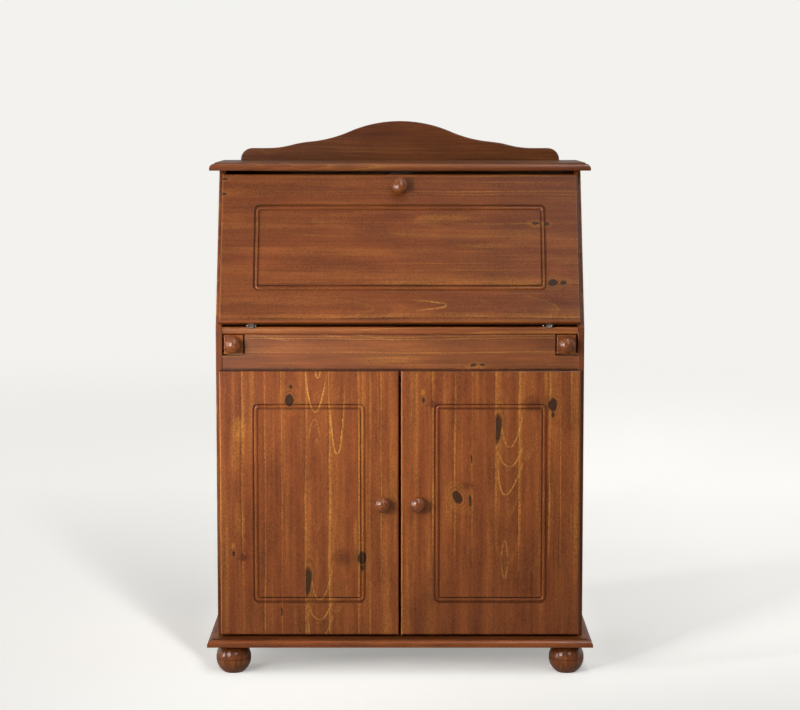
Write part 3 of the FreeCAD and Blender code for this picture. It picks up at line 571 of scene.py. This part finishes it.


# The boards' own grain, with some painted light and shade, in the terms of Board. The doors show one run of
# staves, the right one further along
DOOR_SHIFTS = {"left_door": (0, 0), "right_door": (19, 329)}
DOOR = {
    "staves": [(-112, -330, 40, 0.01, 0.02, 0.3), (-60, 40, 60, 0.02, 0.0, 0.3),
               (-9, -150, 60, 0.01, -0.03, 0.2), (43, 17, 13.2, -0.13, -0.02, 0.45),
               (109, 57, 43, -0.1, -0.01, 0.4), (240, 330, 40, 0.01, -0.02, 0.3)],
    "lines": [(-144, 7, 0.7), (-96, 3, 1.0), (-60, 3, 1.0), (-9, 5, 0.8), (41, 5, 1.0), (104, 4, 1.0),
              (128, 3, 0.8), (152, 3, 0.7)],
    "line_run": [(-614, 0.3), (-470, 0.45), (-330, 1.0), (284, 1.0)],
    "knots": [(-42, 221, 8.8, 12.6), (-39, 250, 3.2, 4.5), (-161, -108, 2.8, 5, 0.1),
              (-6, -170, 9, 31, 0.12, -8.4), (112, -117, 9, 13), (112, -139, 3.5, 6),
              (-89, -315, 9, 14, -0.45), (-60, -232, 1.5, 9), (-62, -323, 2.5, 12),
              (-79, -51, 1.2, 2)],
    "figure": [(-614, 0.2), (-500, 0.3), (-470, 0.8), (-425, 0.8), (-400, 0.3), (-335, 0.9), (-190, 1.0),
               (-150, 0.35), (60, 0.2), (95, 0.7), (285, 0.6)],
    "arches": [(58, 108, 1, 1.5, 0, 150, 1.0), (12, 197, 1, 2.5, 0.03, 90, 0.9),
               (18, 269, 1, 1.2, 0, 24, 0.9), (10, 180, -1, 1.84, 0, 50, 0.45),
               (22, -207, 1, 2.8, 0.05, 90, 0.8), (21, -249, 1, 4.2, 0, 45, 0.9),
               (13, -309, 1, 3.1, 0.15, 80, 1.0), (12, -489, 1, 0.95, 0, 46, 0.7),
               (12, -409, -1, 0.95, 0, 46, 0.7)],
    # The last patch is painted shade: it darkens the lower part of the right door
    "patches": [(-148, 164, 18, 34, 0.6), (-155, 110, 14, 55, 0.35), (-146, -30, 12, 50, 0.3),
                (-160, -86, 6, 8, 0.9), (82, -112, 34, 22, -0.6), (-104, -330, 12, 60, 0.35),
                (-70, -287, 24, 12, -0.7), (100, -60, 6, 40, 0.4), (-40, 262, 7, 14, -0.2),
                (-138, -112, 24, 9, -0.6), (30, -60, 20, 60, -0.15), (40, -570, 300, 190, -0.3)],
    # The darker top and bottom faces are painted shade below the apron and above the base, and the arris
    # shares paint a highlight on the left arrises and shade on the others
    "dark_faces": [(Z, 0.15)], "contrast": 0.6, "speck": 1.3, "gold": 0.45,
    "wear_and_painted_light": 0.5, "wear_and_painted_light_shares": (2.0, -0.6)}
LID_LEVELS = [(-380, 0.3), (-60, 0.5), (10, 0.9), (220, 1.0)]
LID = {
    "staves": [(-160, -300, 40, 0.02, 0.05, 0.4), (-108, -136, 29, 0.1, 0.0, 0.4),
               (-40, 120, 60, 0.02, 0.02, 0.4), (28, -200, 50, 0.01, 0.0, 0.3),
               (100, 60, 70, -0.03, 0.0, 0.35), (190, -60, 60, 0.02, 0.02, 0.5)],
    "lines": [(160, 4, 0.6), (126, 3, 0.6), (54, 3, 0.5), (-36, 3, 0.4), (-51, 3, 0.4), (-80, 7, 0.5),
              (-155, 8, 0.8)],
    "knots": [(55, 290, 3, 8), (54, 314, 3.5, 4.5), (-78, 324, 7, 9),
              (-78, 346, 4, 7), (138, 253, 1.2, 2.2), (68, 174, 1.2, 3),
              (155, -377, 2.5, 6), (121, -377, 2.5, 5)],
    "figure": LID_LEVELS, "line_run": LID_LEVELS,
    "arches": [(-130, 98, -1, 1.3, 0, 75, 0.9)],
    "patches": [(70, 100, 10, 80, 0.5), (6, 190, 7, 70, 0.4), (-80, 262, 7, 50, 0.4),
                (55, 300, 9, 24, 0.5), (-78, 335, 16, 34, -0.5), (-100, -180, 90, 220, -0.15)],
    # The shade darkens the lid partly as painted shade, as it faces up towards the lamps; the arris shares
    # paint a highlight on the left arris and shade on the others
    "shade": 0.74, "contrast": 0.58, "speck": 1.25, "gold": 0.2, "wear_and_painted_light": 0.7, "wear_and_painted_light_shares": (1.7, -0.3)}
SIDE = {"shade": 0.95, "knot_count": 7, "dark_faces": [(Z, 0.45), (Y, 0.78)]}
# A board's shade is partly its own tone and partly painted shade and light against how the lamps fall: the
# top board, crest and apron are darkened, and the desk and base boards lightened
CARCASE = {
    # The patch is painted shade: a dark strip on the base's top in front of the doors, where they shade it
    "base_board": (X, Y, {"shade": 1.05, "knot_count": 4, "patches": [(-189, 0, 15, 9000, -0.9)]}),
    "top_board": (X, Y, {"shade": 0.66}),
    "crest_board": (X, Z, {"shade": 0.55, "knot_count": 1, "gold": 0.08}),
    "desk_board": (X, Y, {"shade": 1.1, "knot_count": 4, "gold": 0.05, "shine": 0.45}),
    "apron_rail": (X, Z, {
        "shade": 0.77, "knots": [(-22, 156, 3, 7, 0.2), (-22, 174, 2.6, 5)],
        # The first patch is painted shade: a dark line along the apron's bottom, just above the doors
        "patches": [(-30, 0, 4, 9000, -1.4), (-8, -20, 12, 90, 0.5), (-21, 166, 8, 24, 0.7)],
        # The dark top and bottom edges are painted shade, such as the line beneath the desk board's edge
        "dark_faces": [(X, 0.35), (Z, 0.35)], "gold": 0.05, "shine": 0.45}),
    "left_side_panel": (Z, Y, SIDE),
    "right_side_panel": (Z, Y, SIDE),
    "cupboard_shelf": (X, Y, {"knot_count": 4}),
    "pigeonhole_shelf": (X, Y, {}),
    "pigeonhole_divider_1": (Z, Y, {"knot_count": 1}),
    "pigeonhole_divider_2": (Z, Y, {"knot_count": 1}),
    "pigeonhole_divider_3": (Z, Y, {"knot_count": 1})}
SEEDS = {"doors": 3, "lid": 11, "carcase": 21, "lopers": 41}
SIDES = ("left", "right")


class ESCRITOIRE_OT_doors(bpy.types.Operator):
    """Both doors, cut from one run of staves, with their knots where the trees grew them"""
    bl_idname = "escritoire.doors"
    bl_label = "Finish the doors"

    def execute(self, context):
        for name, shift in DOOR_SHIFTS.items():
            dress_board(name, Z, X, SEEDS["doors"], shift=shift, **DOOR)
        return {"FINISHED"}


class ESCRITOIRE_OT_lid(bpy.types.Operator):
    """The sloping lid, its grain from side to side"""
    bl_idname = "escritoire.lid"
    bl_label = "Finish the lid"

    def execute(self, context):
        board = Board("lid_panel", X, LID_UP, SEEDS["lid"], **LID)
        dress(stained_pine(board, "stained_pine_lid"), "lid_panel")
        return {"FINISHED"}


class ESCRITOIRE_OT_carcase(bpy.types.Operator):
    """The boards of the carcase, each with its own grain"""
    bl_idname = "escritoire.carcase"
    bl_label = "Finish the carcase"

    def execute(self, context):
        for seed, (name, (along, across, choices)) in enumerate(CARCASE.items(), SEEDS["carcase"]):
            dress_board(name, along, across, seed, **choices)
        return {"FINISHED"}


class ESCRITOIRE_OT_lopers(bpy.types.Operator):
    """The two lid supports, and the bare beech that they run on"""
    bl_idname = "escritoire.lopers"
    bl_label = "Finish the lopers"

    def execute(self, context):
        beech = bare_beech()
        dress(beech, "carcase_dowels")
        for seed, side in enumerate(SIDES, SEEDS["lopers"]):
            dress_board(side + "_loper", Y, Z, seed, knot_count=2, dark_faces=[(Y, 0.85)])
            dress(beech, side + "_loper_guide", side + "_loper_runner", side + "_loper_stop_peg")
        return {"FINISHED"}


def bare_beech():
    """Beech, planed and left bare: pale pink-brown, with short dark flecks along the grain, and no shine."""
    finish, node, shader = new_finish("bare_beech")
    flecks = mottle(node, (3 * MM, 60 * MM, 3 * MM), 4.0, 0.6)
    colour = (*bpy.context.scene.fitting_finish.beech, 1)
    fill(shader, {"Base Color": tinted(node, flecks, 0.3, 0.7, 0.78, 1.1, colour), "Roughness": 0.62})
    return finish


def turned_pine(name, axis, shade, coat_roughness):
    """Pine turned on a lathe, stained and lacquered to a shine: rings and streaks run along the axis, and
    the round surface carries soft bright highlights."""
    look = bpy.context.scene.pine_finish
    finish, node, shader = new_finish(name)
    width, drawn_out = 5 * MM, 0.88
    streak = mottle(node, [width / (1 - abs(part) * drawn_out) for part in axis], 4.0, 0.6)
    red = node("MapRange", [streak, 0.32, 0.6])
    gold = node("MapRange", [streak, 0.56, 0.72, 0.0, 0.5])
    colour = stain_colour(node, look, red, gold)
    fill(shader, {"Base Color": tinted(node, streak, 0, 1, shade - 0.12, shade + 0.12, colour),
                  "Roughness": 0.34, "Specular IOR Level": 0.15, "Coat Weight": 0.8,
                  "Coat Roughness": coat_roughness})
    return finish


class ESCRITOIRE_OT_turnings(bpy.types.Operator):
    """The turned knobs and ball feet"""
    bl_idname = "escritoire.turnings"
    bl_label = "Finish the turnings"

    def execute(self, context):
        knob = turned_pine("turned_pine_knob", Y, 0.82, 0.24)
        foot = turned_pine("turned_pine_foot", Z, 0.96, 0.2)
        dress(knob, "lid_knob")
        for side in SIDES:
            dress(knob, side + "_door_knob", side + "_loper_knob")
            dress(foot, "front_" + side + "_foot", "rear_" + side + "_foot")
        return {"FINISHED"}


def plated_steel(name, colour, roughness, grit):
    """Plated steel: a thin bright metal coat, with faint cloudy rubbing where it has been handled."""
    finish, node, shader = new_finish(name)
    rubbing = mottle(node, (grit,) * 3, 3.0)
    fill(shader, {"Base Color": tinted(node, rubbing, 0.3, 0.7, 0.85, 1.05, (*colour, 1)), "Metallic": 1.0,
                  "Roughness": roughness})
    return finish


def moulded_plastic(name, colour):
    """Brown plastic from a sparked mould: even, dull, with a fine pebbled grain."""
    finish, node, shader = new_finish(name)
    pebbles = mottle(node, (0.8 * MM,) * 3, 2.0)
    bump = node("Bump", {"Height": pebbles, "Strength": 0.2, "Distance": 0.1 * MM})
    fill(shader, {"Base Color": tinted(node, pebbles, 0, 1, 0.85, 1.15, (*colour, 1)), "Normal": bump,
                  "Roughness": 0.5})
    return finish


class ESCRITOIRE_OT_fittings(bpy.types.Operator):
    """Hinges, pins, plates, studs and catches"""
    bl_idname = "escritoire.fittings"
    bl_label = "Finish the fittings"

    def execute(self, context):
        look = context.scene.fitting_finish
        nickel = plated_steel("nickel_plated_steel", look.nickel, 0.24, 9 * MM)
        zinc = plated_steel("zinc_plated_steel", look.zinc, 0.38, 4 * MM)
        dress(nickel, "lid_hinge_leaves", "lid_hinge_plates", "lid_hinge_pins", "shelf_pins")
        dress(zinc, "foot_studs", "lid_knob_screw", "lid_strike_plate")
        dress(moulded_plastic("moulded_plastic", look.plastic), "lid_catch", "door_catch")
        for side in SIDES:
            for piece in ("hinge_cups", "hinge_pins", "hinge_arms", "hinge_blocks"):
                dress(nickel, side + "_" + piece)
            dress(zinc, side + "_strike_plate", side + "_door_knob_screw")
        return {"FINISHED"}


def pressed_hardboard():
    """Hardboard pressed from wood fibre: plain dull brown with a fine felt of darker and paler fibres."""
    finish, node, shader = new_finish("pressed_hardboard")
    felt = mottle(node, (2 * MM,) * 3, 5.0, 0.7)
    cloud = mottle(node, (90 * MM,) * 3, 2.0)
    mixed = node("Math", [felt, cloud], "ADD")
    bump = node("Bump", {"Height": felt, "Strength": 0.25, "Distance": 0.2 * MM})
    colour = (*bpy.context.scene.fitting_finish.hardboard, 1)
    fill(shader, {"Base Color": tinted(node, mixed, 0.6, 1.4, 0.82, 1.18, colour), "Normal": bump,
                  "Roughness": 0.58})
    return finish


def start_fresh():
    """Nothing selected and no piece active."""
    bpy.ops.object.select_all(action="DESELECT")
    bpy.context.view_layer.objects.active = None


def choose(piece, kind, test):
    """In edit mode, selects only the faces or edges that pass a test."""
    mesh = bmesh.from_edit_mesh(piece.data)
    bpy.ops.mesh.select_all(action="DESELECT")
    found = [part for part in getattr(mesh, kind) if test(part)]
    if not found:
        raise RuntimeError("no " + kind + " to shape on " + piece.name)
    for part in found:
        part.select_set(True)
    bmesh.update_edit_mesh(piece.data)


def round_head(diameter, height, recess):
    """A round head that faces up from the floor plane, rounded at its rim, with a cross recess if wanted."""
    start_fresh()
    bpy.ops.mesh.primitive_cylinder_add(vertices=24, radius=diameter / 2, depth=height,
                                        location=(0, 0, height / 2))
    head = bpy.context.object
    bpy.ops.object.mode_set(mode="EDIT")
    choose(head, "faces", lambda face: face.normal.z > 0.9)
    bpy.ops.mesh.bevel(offset=height * 0.7, segments=4, affect="EDGES")
    bpy.ops.object.mode_set(mode="OBJECT")
    bpy.ops.object.transform_apply()
    if recess:
        bpy.ops.object.select_all(action="DESELECT")
        bpy.ops.mesh.primitive_cube_add(size=1, location=(0, 0, height))
        cutter = bpy.context.object
        bpy.ops.object.mode_set(mode="EDIT")
        bpy.ops.transform.resize(value=(diameter * 0.62, recess, height * 1.2))
        bpy.ops.mesh.duplicate()
        bpy.ops.transform.rotate(value=math.pi / 2, orient_axis="Z", center_override=(0, 0, height))
        bpy.ops.object.mode_set(mode="OBJECT")
        bpy.ops.object.transform_apply()
        bpy.ops.object.select_all(action="DESELECT")
        head.select_set(True)
        bpy.context.view_layer.objects.active = head
        bpy.ops.object.modifier_add(type="BOOLEAN")
        cut = head.modifiers[-1]
        cut.object = cutter
        cut.solver = "EXACT"
        cut.use_self = True
        cut.operation = "DIFFERENCE"
        bpy.ops.object.modifier_apply(modifier=cut.name)
        bpy.data.objects.remove(cutter)
    bpy.ops.object.shade_smooth_by_angle(angle=math.radians(35))
    return head


def set_heads(name, pattern, spots, body, finish):
    """Copies a head to each spot (place, direction it faces), as one piece that rides a body."""
    copies = []
    for number, (place, facing) in enumerate(spots):
        copy = pattern.copy()
        copy.data = pattern.data.copy()
        bpy.context.scene.collection.objects.link(copy)
        turn = facing.to_track_quat("Z", "Y").to_matrix().to_4x4()
        twist = Matrix.Rotation(number * 0.9, 4, "Z")
        copy.matrix_world = Matrix.Translation(place) @ turn @ twist
        copies.append(copy)
    start_fresh()
    for copy in copies:
        copy.select_set(True)
    bpy.context.view_layer.objects.active = copies[0]
    bpy.ops.object.join()
    piece = bpy.context.object
    bpy.ops.object.transform_apply()
    piece.name = name
    piece.data.name = name
    piece.data.materials.clear()
    piece.data.materials.append(finish)
    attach(piece, body)


class ESCRITOIRE_OT_back(bpy.types.Operator):
    """The two back panels and the nails that hold them"""
    bl_idname = "escritoire.back"
    bl_label = "Finish the back"

    def execute(self, context):
        sizes = context.scene.fixing_sizes
        dress(pressed_hardboard(), "lower_back_panel", "upper_back_panel")
        nail = round_head(sizes.nail_d, sizes.nail_t, 0)
        spots = []
        edge_inset = 4 * MM
        for node in ("lower_back_panel", "upper_back_panel"):
            low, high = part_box(node)
            desk_edge = high.z - edge_inset if node == "lower_back_panel" else low.z + edge_inset
            count = round((high.z - low.z) / sizes.nail_gap)
            for step in range(count):
                z = low.z + (step + 0.5) * (high.z - low.z) / count
                for x in (low.x + edge_inset, high.x - edge_inset):
                    spots.append((Vector((x, high.y, z)), Y))
            count = round((high.x - low.x) / sizes.nail_gap)
            for step in range(1, count):
                spots.append((Vector((low.x + step * (high.x - low.x) / count, high.y, desk_edge)), Y))
        zinc = bpy.data.materials["zinc_plated_steel"]
        set_heads("back_panel_nails", nail, spots, "carcase", zinc)
        bpy.data.objects.remove(nail)
        return {"FINISHED"}


class ESCRITOIRE_OT_screws(bpy.types.Operator):
    """The screws of the hinges and catches, one piece for each body"""
    bl_idname = "escritoire.screws"
    bl_label = "Set the screws"

    def execute(self, context):
        sizes = context.scene.fixing_sizes
        screw = round_head(sizes.head_d, sizes.head_t, sizes.recess)
        steel = bpy.data.materials["nickel_plated_steel"]
        cup_ear, block_ear, flange, block_inset = 23.8 * MM, 16.5 * MM, 30 * MM, 2 * MM
        carcase = []
        for side, sign in zip(SIDES, (-1, 1)):
            cups_low, cups_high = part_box(side + "_hinge_cups")
            blocks_low, blocks_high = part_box(side + "_hinge_blocks")
            cup_x = (cups_low.x + cups_high.x) / 2
            block_y = (blocks_low.y + blocks_high.y) / 2
            block_x = sign * (max(abs(blocks_low.x), abs(blocks_high.x)) - block_inset)
            cups = []
            for z in (cups_low.z + flange, cups_high.z - flange):
                for step in (-1, 1):
                    cups.append((Vector((cup_x, cups_high.y, z + step * cup_ear)), Y))
                    carcase.append((Vector((block_x, block_y, z + step * block_ear)), -sign * X))
            set_heads(side + "_hinge_cup_screws", screw, cups, side + "_door", steel)
        pins_low, pins_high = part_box("lid_hinge_pins")
        axis = Vector((0, *((pins_low + pins_high) / 2)[1:]))
        inward = LID_UP.cross(X)
        lid = []
        hinge_x, spread, reach = 315 * MM, 9 * MM, 27 * MM
        for middle in (-hinge_x, hinge_x):
            for step in (-1, 1):
                x = (middle + step * spread) * X
                carcase.append((axis + x + Y * reach, Z))
                lid.append((axis + x + LID_UP * reach, inward))
        set_heads("lid_hinge_screws", screw, lid, "lid", steel)
        set_heads("carcase_screws", screw, carcase, "carcase", steel)
        bpy.data.objects.remove(screw)
        return {"FINISHED"}


def seen_straight(node, mirrored):
    """One where the paper is looked at straight, and this share where it is seen in a reflection."""
    path = node("LightPath").outputs
    seen = node("Math", [path["Is Glossy Ray"], path["Is Transmission Ray"]], "MAXIMUM")
    seen = node("Math", [seen, mirrored], "MULTIPLY")
    return node("Math", [seen, path["Is Camera Ray"]], "MAXIMUM")


def studio_paper(plan):
    """Matt studio paper: takes the shadow near the piece, and is even and bright further off."""
    finish, node, shader = new_finish("studio_paper")
    paper = (*plan.paper, 1)
    seen = seen_straight(node, 0.1)
    shaded = [channel * 1.1 for channel in plan.paper]
    grey = node("Mix", {0: seen, 6: (0.3, 0.3, 0.3, 1), 7: (*shaded, 1)}, data_type="RGBA")
    fill(shader, {"Base Color": grey, "Roughness": 0.9, "Specular IOR Level": 0.1})
    place = node("TexCoord").outputs["Object"]
    spot = node("Mapping", {"Vector": place, "Location": (0, -0.5, 0)})
    gap = node("VectorMath", [spot], "LENGTH")
    far = node("MapRange", [gap, 2.0, 6.0], interpolation_type="SMOOTHERSTEP")
    share = node("Math", [far, seen], "MULTIPLY")
    x, y, _ = node("SeparateXYZ", [place]).outputs
    glow = node("MapRange", [y, -0.6, 2.2, plan.glow * 0.5, plan.glow * 1.35])
    # Painted light: the paper glows more beneath the base, so the shade there isn't deep
    aside = node("Math", [x], "ABSOLUTE")
    aside = node("MapRange", [aside, 0.38, 0.48, 0.13, 0.0])
    painted_glow_beneath = node("MapRange", [y, -0.2, -0.08])
    painted_glow_beneath = node("Math", [aside, painted_glow_beneath], "MULTIPLY")
    glow = node("Math", [glow, painted_glow_beneath], "ADD")
    # The paper's right side, further from the lights on the left, is lifted to match
    right = node("MapRange", [x, 0.3, 0.9, 0.0, 0.06])
    glow = node("Math", [glow, right], "ADD")
    glow = node("Math", [glow, seen], "MULTIPLY")
    glow = node("Emission", {"Color": paper, "Strength": glow})
    lit = node("AddShader", [shader, glow])
    plain = node("Emission", {"Color": paper, "Strength": 1.0})
    mix = node("MixShader", [share, lit, plain])
    fill(finish.node_tree.nodes["Material Output"], {"Surface": mix})
    return finish


# Area lights: place, width and height, and spread in degrees. All aim at the front of the cabinet.
LIGHTS = {"key_light": ((-1.1, -1.6, 1.0), (0.7, 0.9), 52),
          "edge_light": ((-3.0, -1.3, 1.1), (0.3, 2.0), 90),
          "right_strip": ((3.0, -8.1, 11), (1.0, 13.6), 180)}
LIGHT_AIM = Vector((-0.1, -0.18, 0.72))


class ESCRITOIRE_OT_stage(bpy.types.Operator):
    """A pale paper floor with a wall of paper behind it, soft lights and the camera"""
    bl_idname = "escritoire.stage"
    bl_label = "Set the stage"

    def execute(self, context):
        plan = context.scene.stage_plan
        self.set_floor(plan)
        self.set_lights(plan)
        self.set_room(plan, context.scene)
        self.set_camera(plan, context.scene)
        context.scene.view_settings.view_transform = "Standard"
        return {"FINISHED"}

    @staticmethod
    def set_floor(plan):
        """The floor and the wall of paper behind it."""
        start_fresh()
        bpy.ops.mesh.primitive_plane_add(size=plan.floor, location=(0, 0, 0))
        floor = bpy.context.object
        floor.name = "paper_floor"
        bpy.ops.object.mode_set(mode="EDIT")
        rear = plan.floor / 2 - 0.1
        choose(floor, "edges", lambda edge: all(v.co.y > rear for v in edge.verts))
        bpy.ops.mesh.extrude_region_move(TRANSFORM_OT_translate={"value": (0, 0, plan.wall)})
        bpy.ops.object.mode_set(mode="OBJECT")
        bpy.ops.object.shade_smooth()
        floor.data.materials.append(studio_paper(plan))

    @staticmethod
    def set_lights(plan):
        """Area lights in front, and a far light on the left."""
        for name, (place, size, spread) in LIGHTS.items():
            bpy.ops.object.light_add(type="AREA", location=place)
            light = bpy.context.object
            light.name = name
            light.data.shape = "RECTANGLE"
            light.data.size, light.data.size_y = size
            light.data.energy = getattr(plan, name)
            light.data.spread = math.radians(spread)
            light.rotation_euler = (LIGHT_AIM - Vector(place)).to_track_quat("-Z", "Y").to_euler()
        height, aside = 46, 28
        bpy.ops.object.light_add(type="SUN", location=(0, 0, 4))
        light = bpy.context.object
        light.name = "far_light"
        light.data.energy = plan.far_light
        light.data.angle = math.radians(8)
        light.rotation_euler = (math.radians(90 - height), 0, math.radians(-aside))

    @staticmethod
    def set_room(plan, scene):
        """Light from all round, dimmer from the front, and the paper's own colour where it is seen."""
        scene.world = bpy.data.worlds.new("studio")
        scene.world.use_nodes = True
        tree = scene.world.node_tree
        tree.nodes.clear()
        node = partial(add, tree)
        heading = node("SeparateXYZ", [node("TexCoord").outputs["Generated"]]).outputs[1]
        behind = node("MapRange", [heading, -0.2, 0.1])
        seen = seen_straight(node, behind)
        strength = node("MapRange", [heading, -0.3, 0.3, plan.room, plan.rear])
        room = node("Background", {"Color": (1, 1, 1, 1), "Strength": strength})
        backdrop = node("Background", {"Color": (*plan.paper, 1), "Strength": 1.0})
        mix = node("MixShader", [seen, room, backdrop])
        node("OutputWorld", {"Surface": mix})

    @staticmethod
    def set_camera(plan, scene):
        """The camera straight in front, which looks down a little."""
        bpy.ops.object.camera_add(location=(0, CAD_BOX[0].y - plan.camera_gap, plan.camera_height),
                                  rotation=(math.pi / 2 - plan.camera_tilt, 0, 0))
        camera = bpy.context.object
        camera.name = "camera"
        camera.data.sensor_width = 36
        camera.data.lens = plan.lens
        camera.data.shift_y = plan.shift
        camera.data.clip_end = 60
        scene.camera = camera


STEPS = (ESCRITOIRE_OT_doors, ESCRITOIRE_OT_lid, ESCRITOIRE_OT_carcase, ESCRITOIRE_OT_lopers,
         ESCRITOIRE_OT_turnings, ESCRITOIRE_OT_fittings, ESCRITOIRE_OT_back, ESCRITOIRE_OT_screws,
         ESCRITOIRE_OT_stage)


class ESCRITOIRE_PT_panel(bpy.types.Panel):
    """Lists the steps"""
    bl_idname = "ESCRITOIRE_PT_panel"
    bl_label = "Pine escritoire"
    bl_space_type = "VIEW_3D"
    bl_region_type = "UI"
    bl_category = "Escritoire"

    def draw(self, context):
        for step in STEPS:
            self.layout.operator(step.bl_idname)


GROUPS = {"pine_finish": PineFinish, "fitting_finish": FittingFinish, "fixing_sizes": FixingSizes,
          "stage_plan": StagePlan}
CLASSES = (*GROUPS.values(), *STEPS, ESCRITOIRE_PT_panel)


def register():
    for cls in CLASSES:
        bpy.utils.register_class(cls)
    for name, group in GROUPS.items():
        setattr(bpy.types.Scene, name, PointerProperty(type=group))


def unregister():
    for name in GROUPS:
        delattr(bpy.types.Scene, name)
    for cls in reversed(CLASSES):
        bpy.utils.unregister_class(cls)


def main():
    register()
    bpy.ops.escritoire.doors()
    bpy.ops.escritoire.lid()
    bpy.ops.escritoire.carcase()
    bpy.ops.escritoire.lopers()
    bpy.ops.escritoire.turnings()
    bpy.ops.escritoire.fittings()
    bpy.ops.escritoire.back()
    bpy.ops.escritoire.screws()
    bpy.ops.escritoire.stage()


if __name__ == "__main__":
    main()
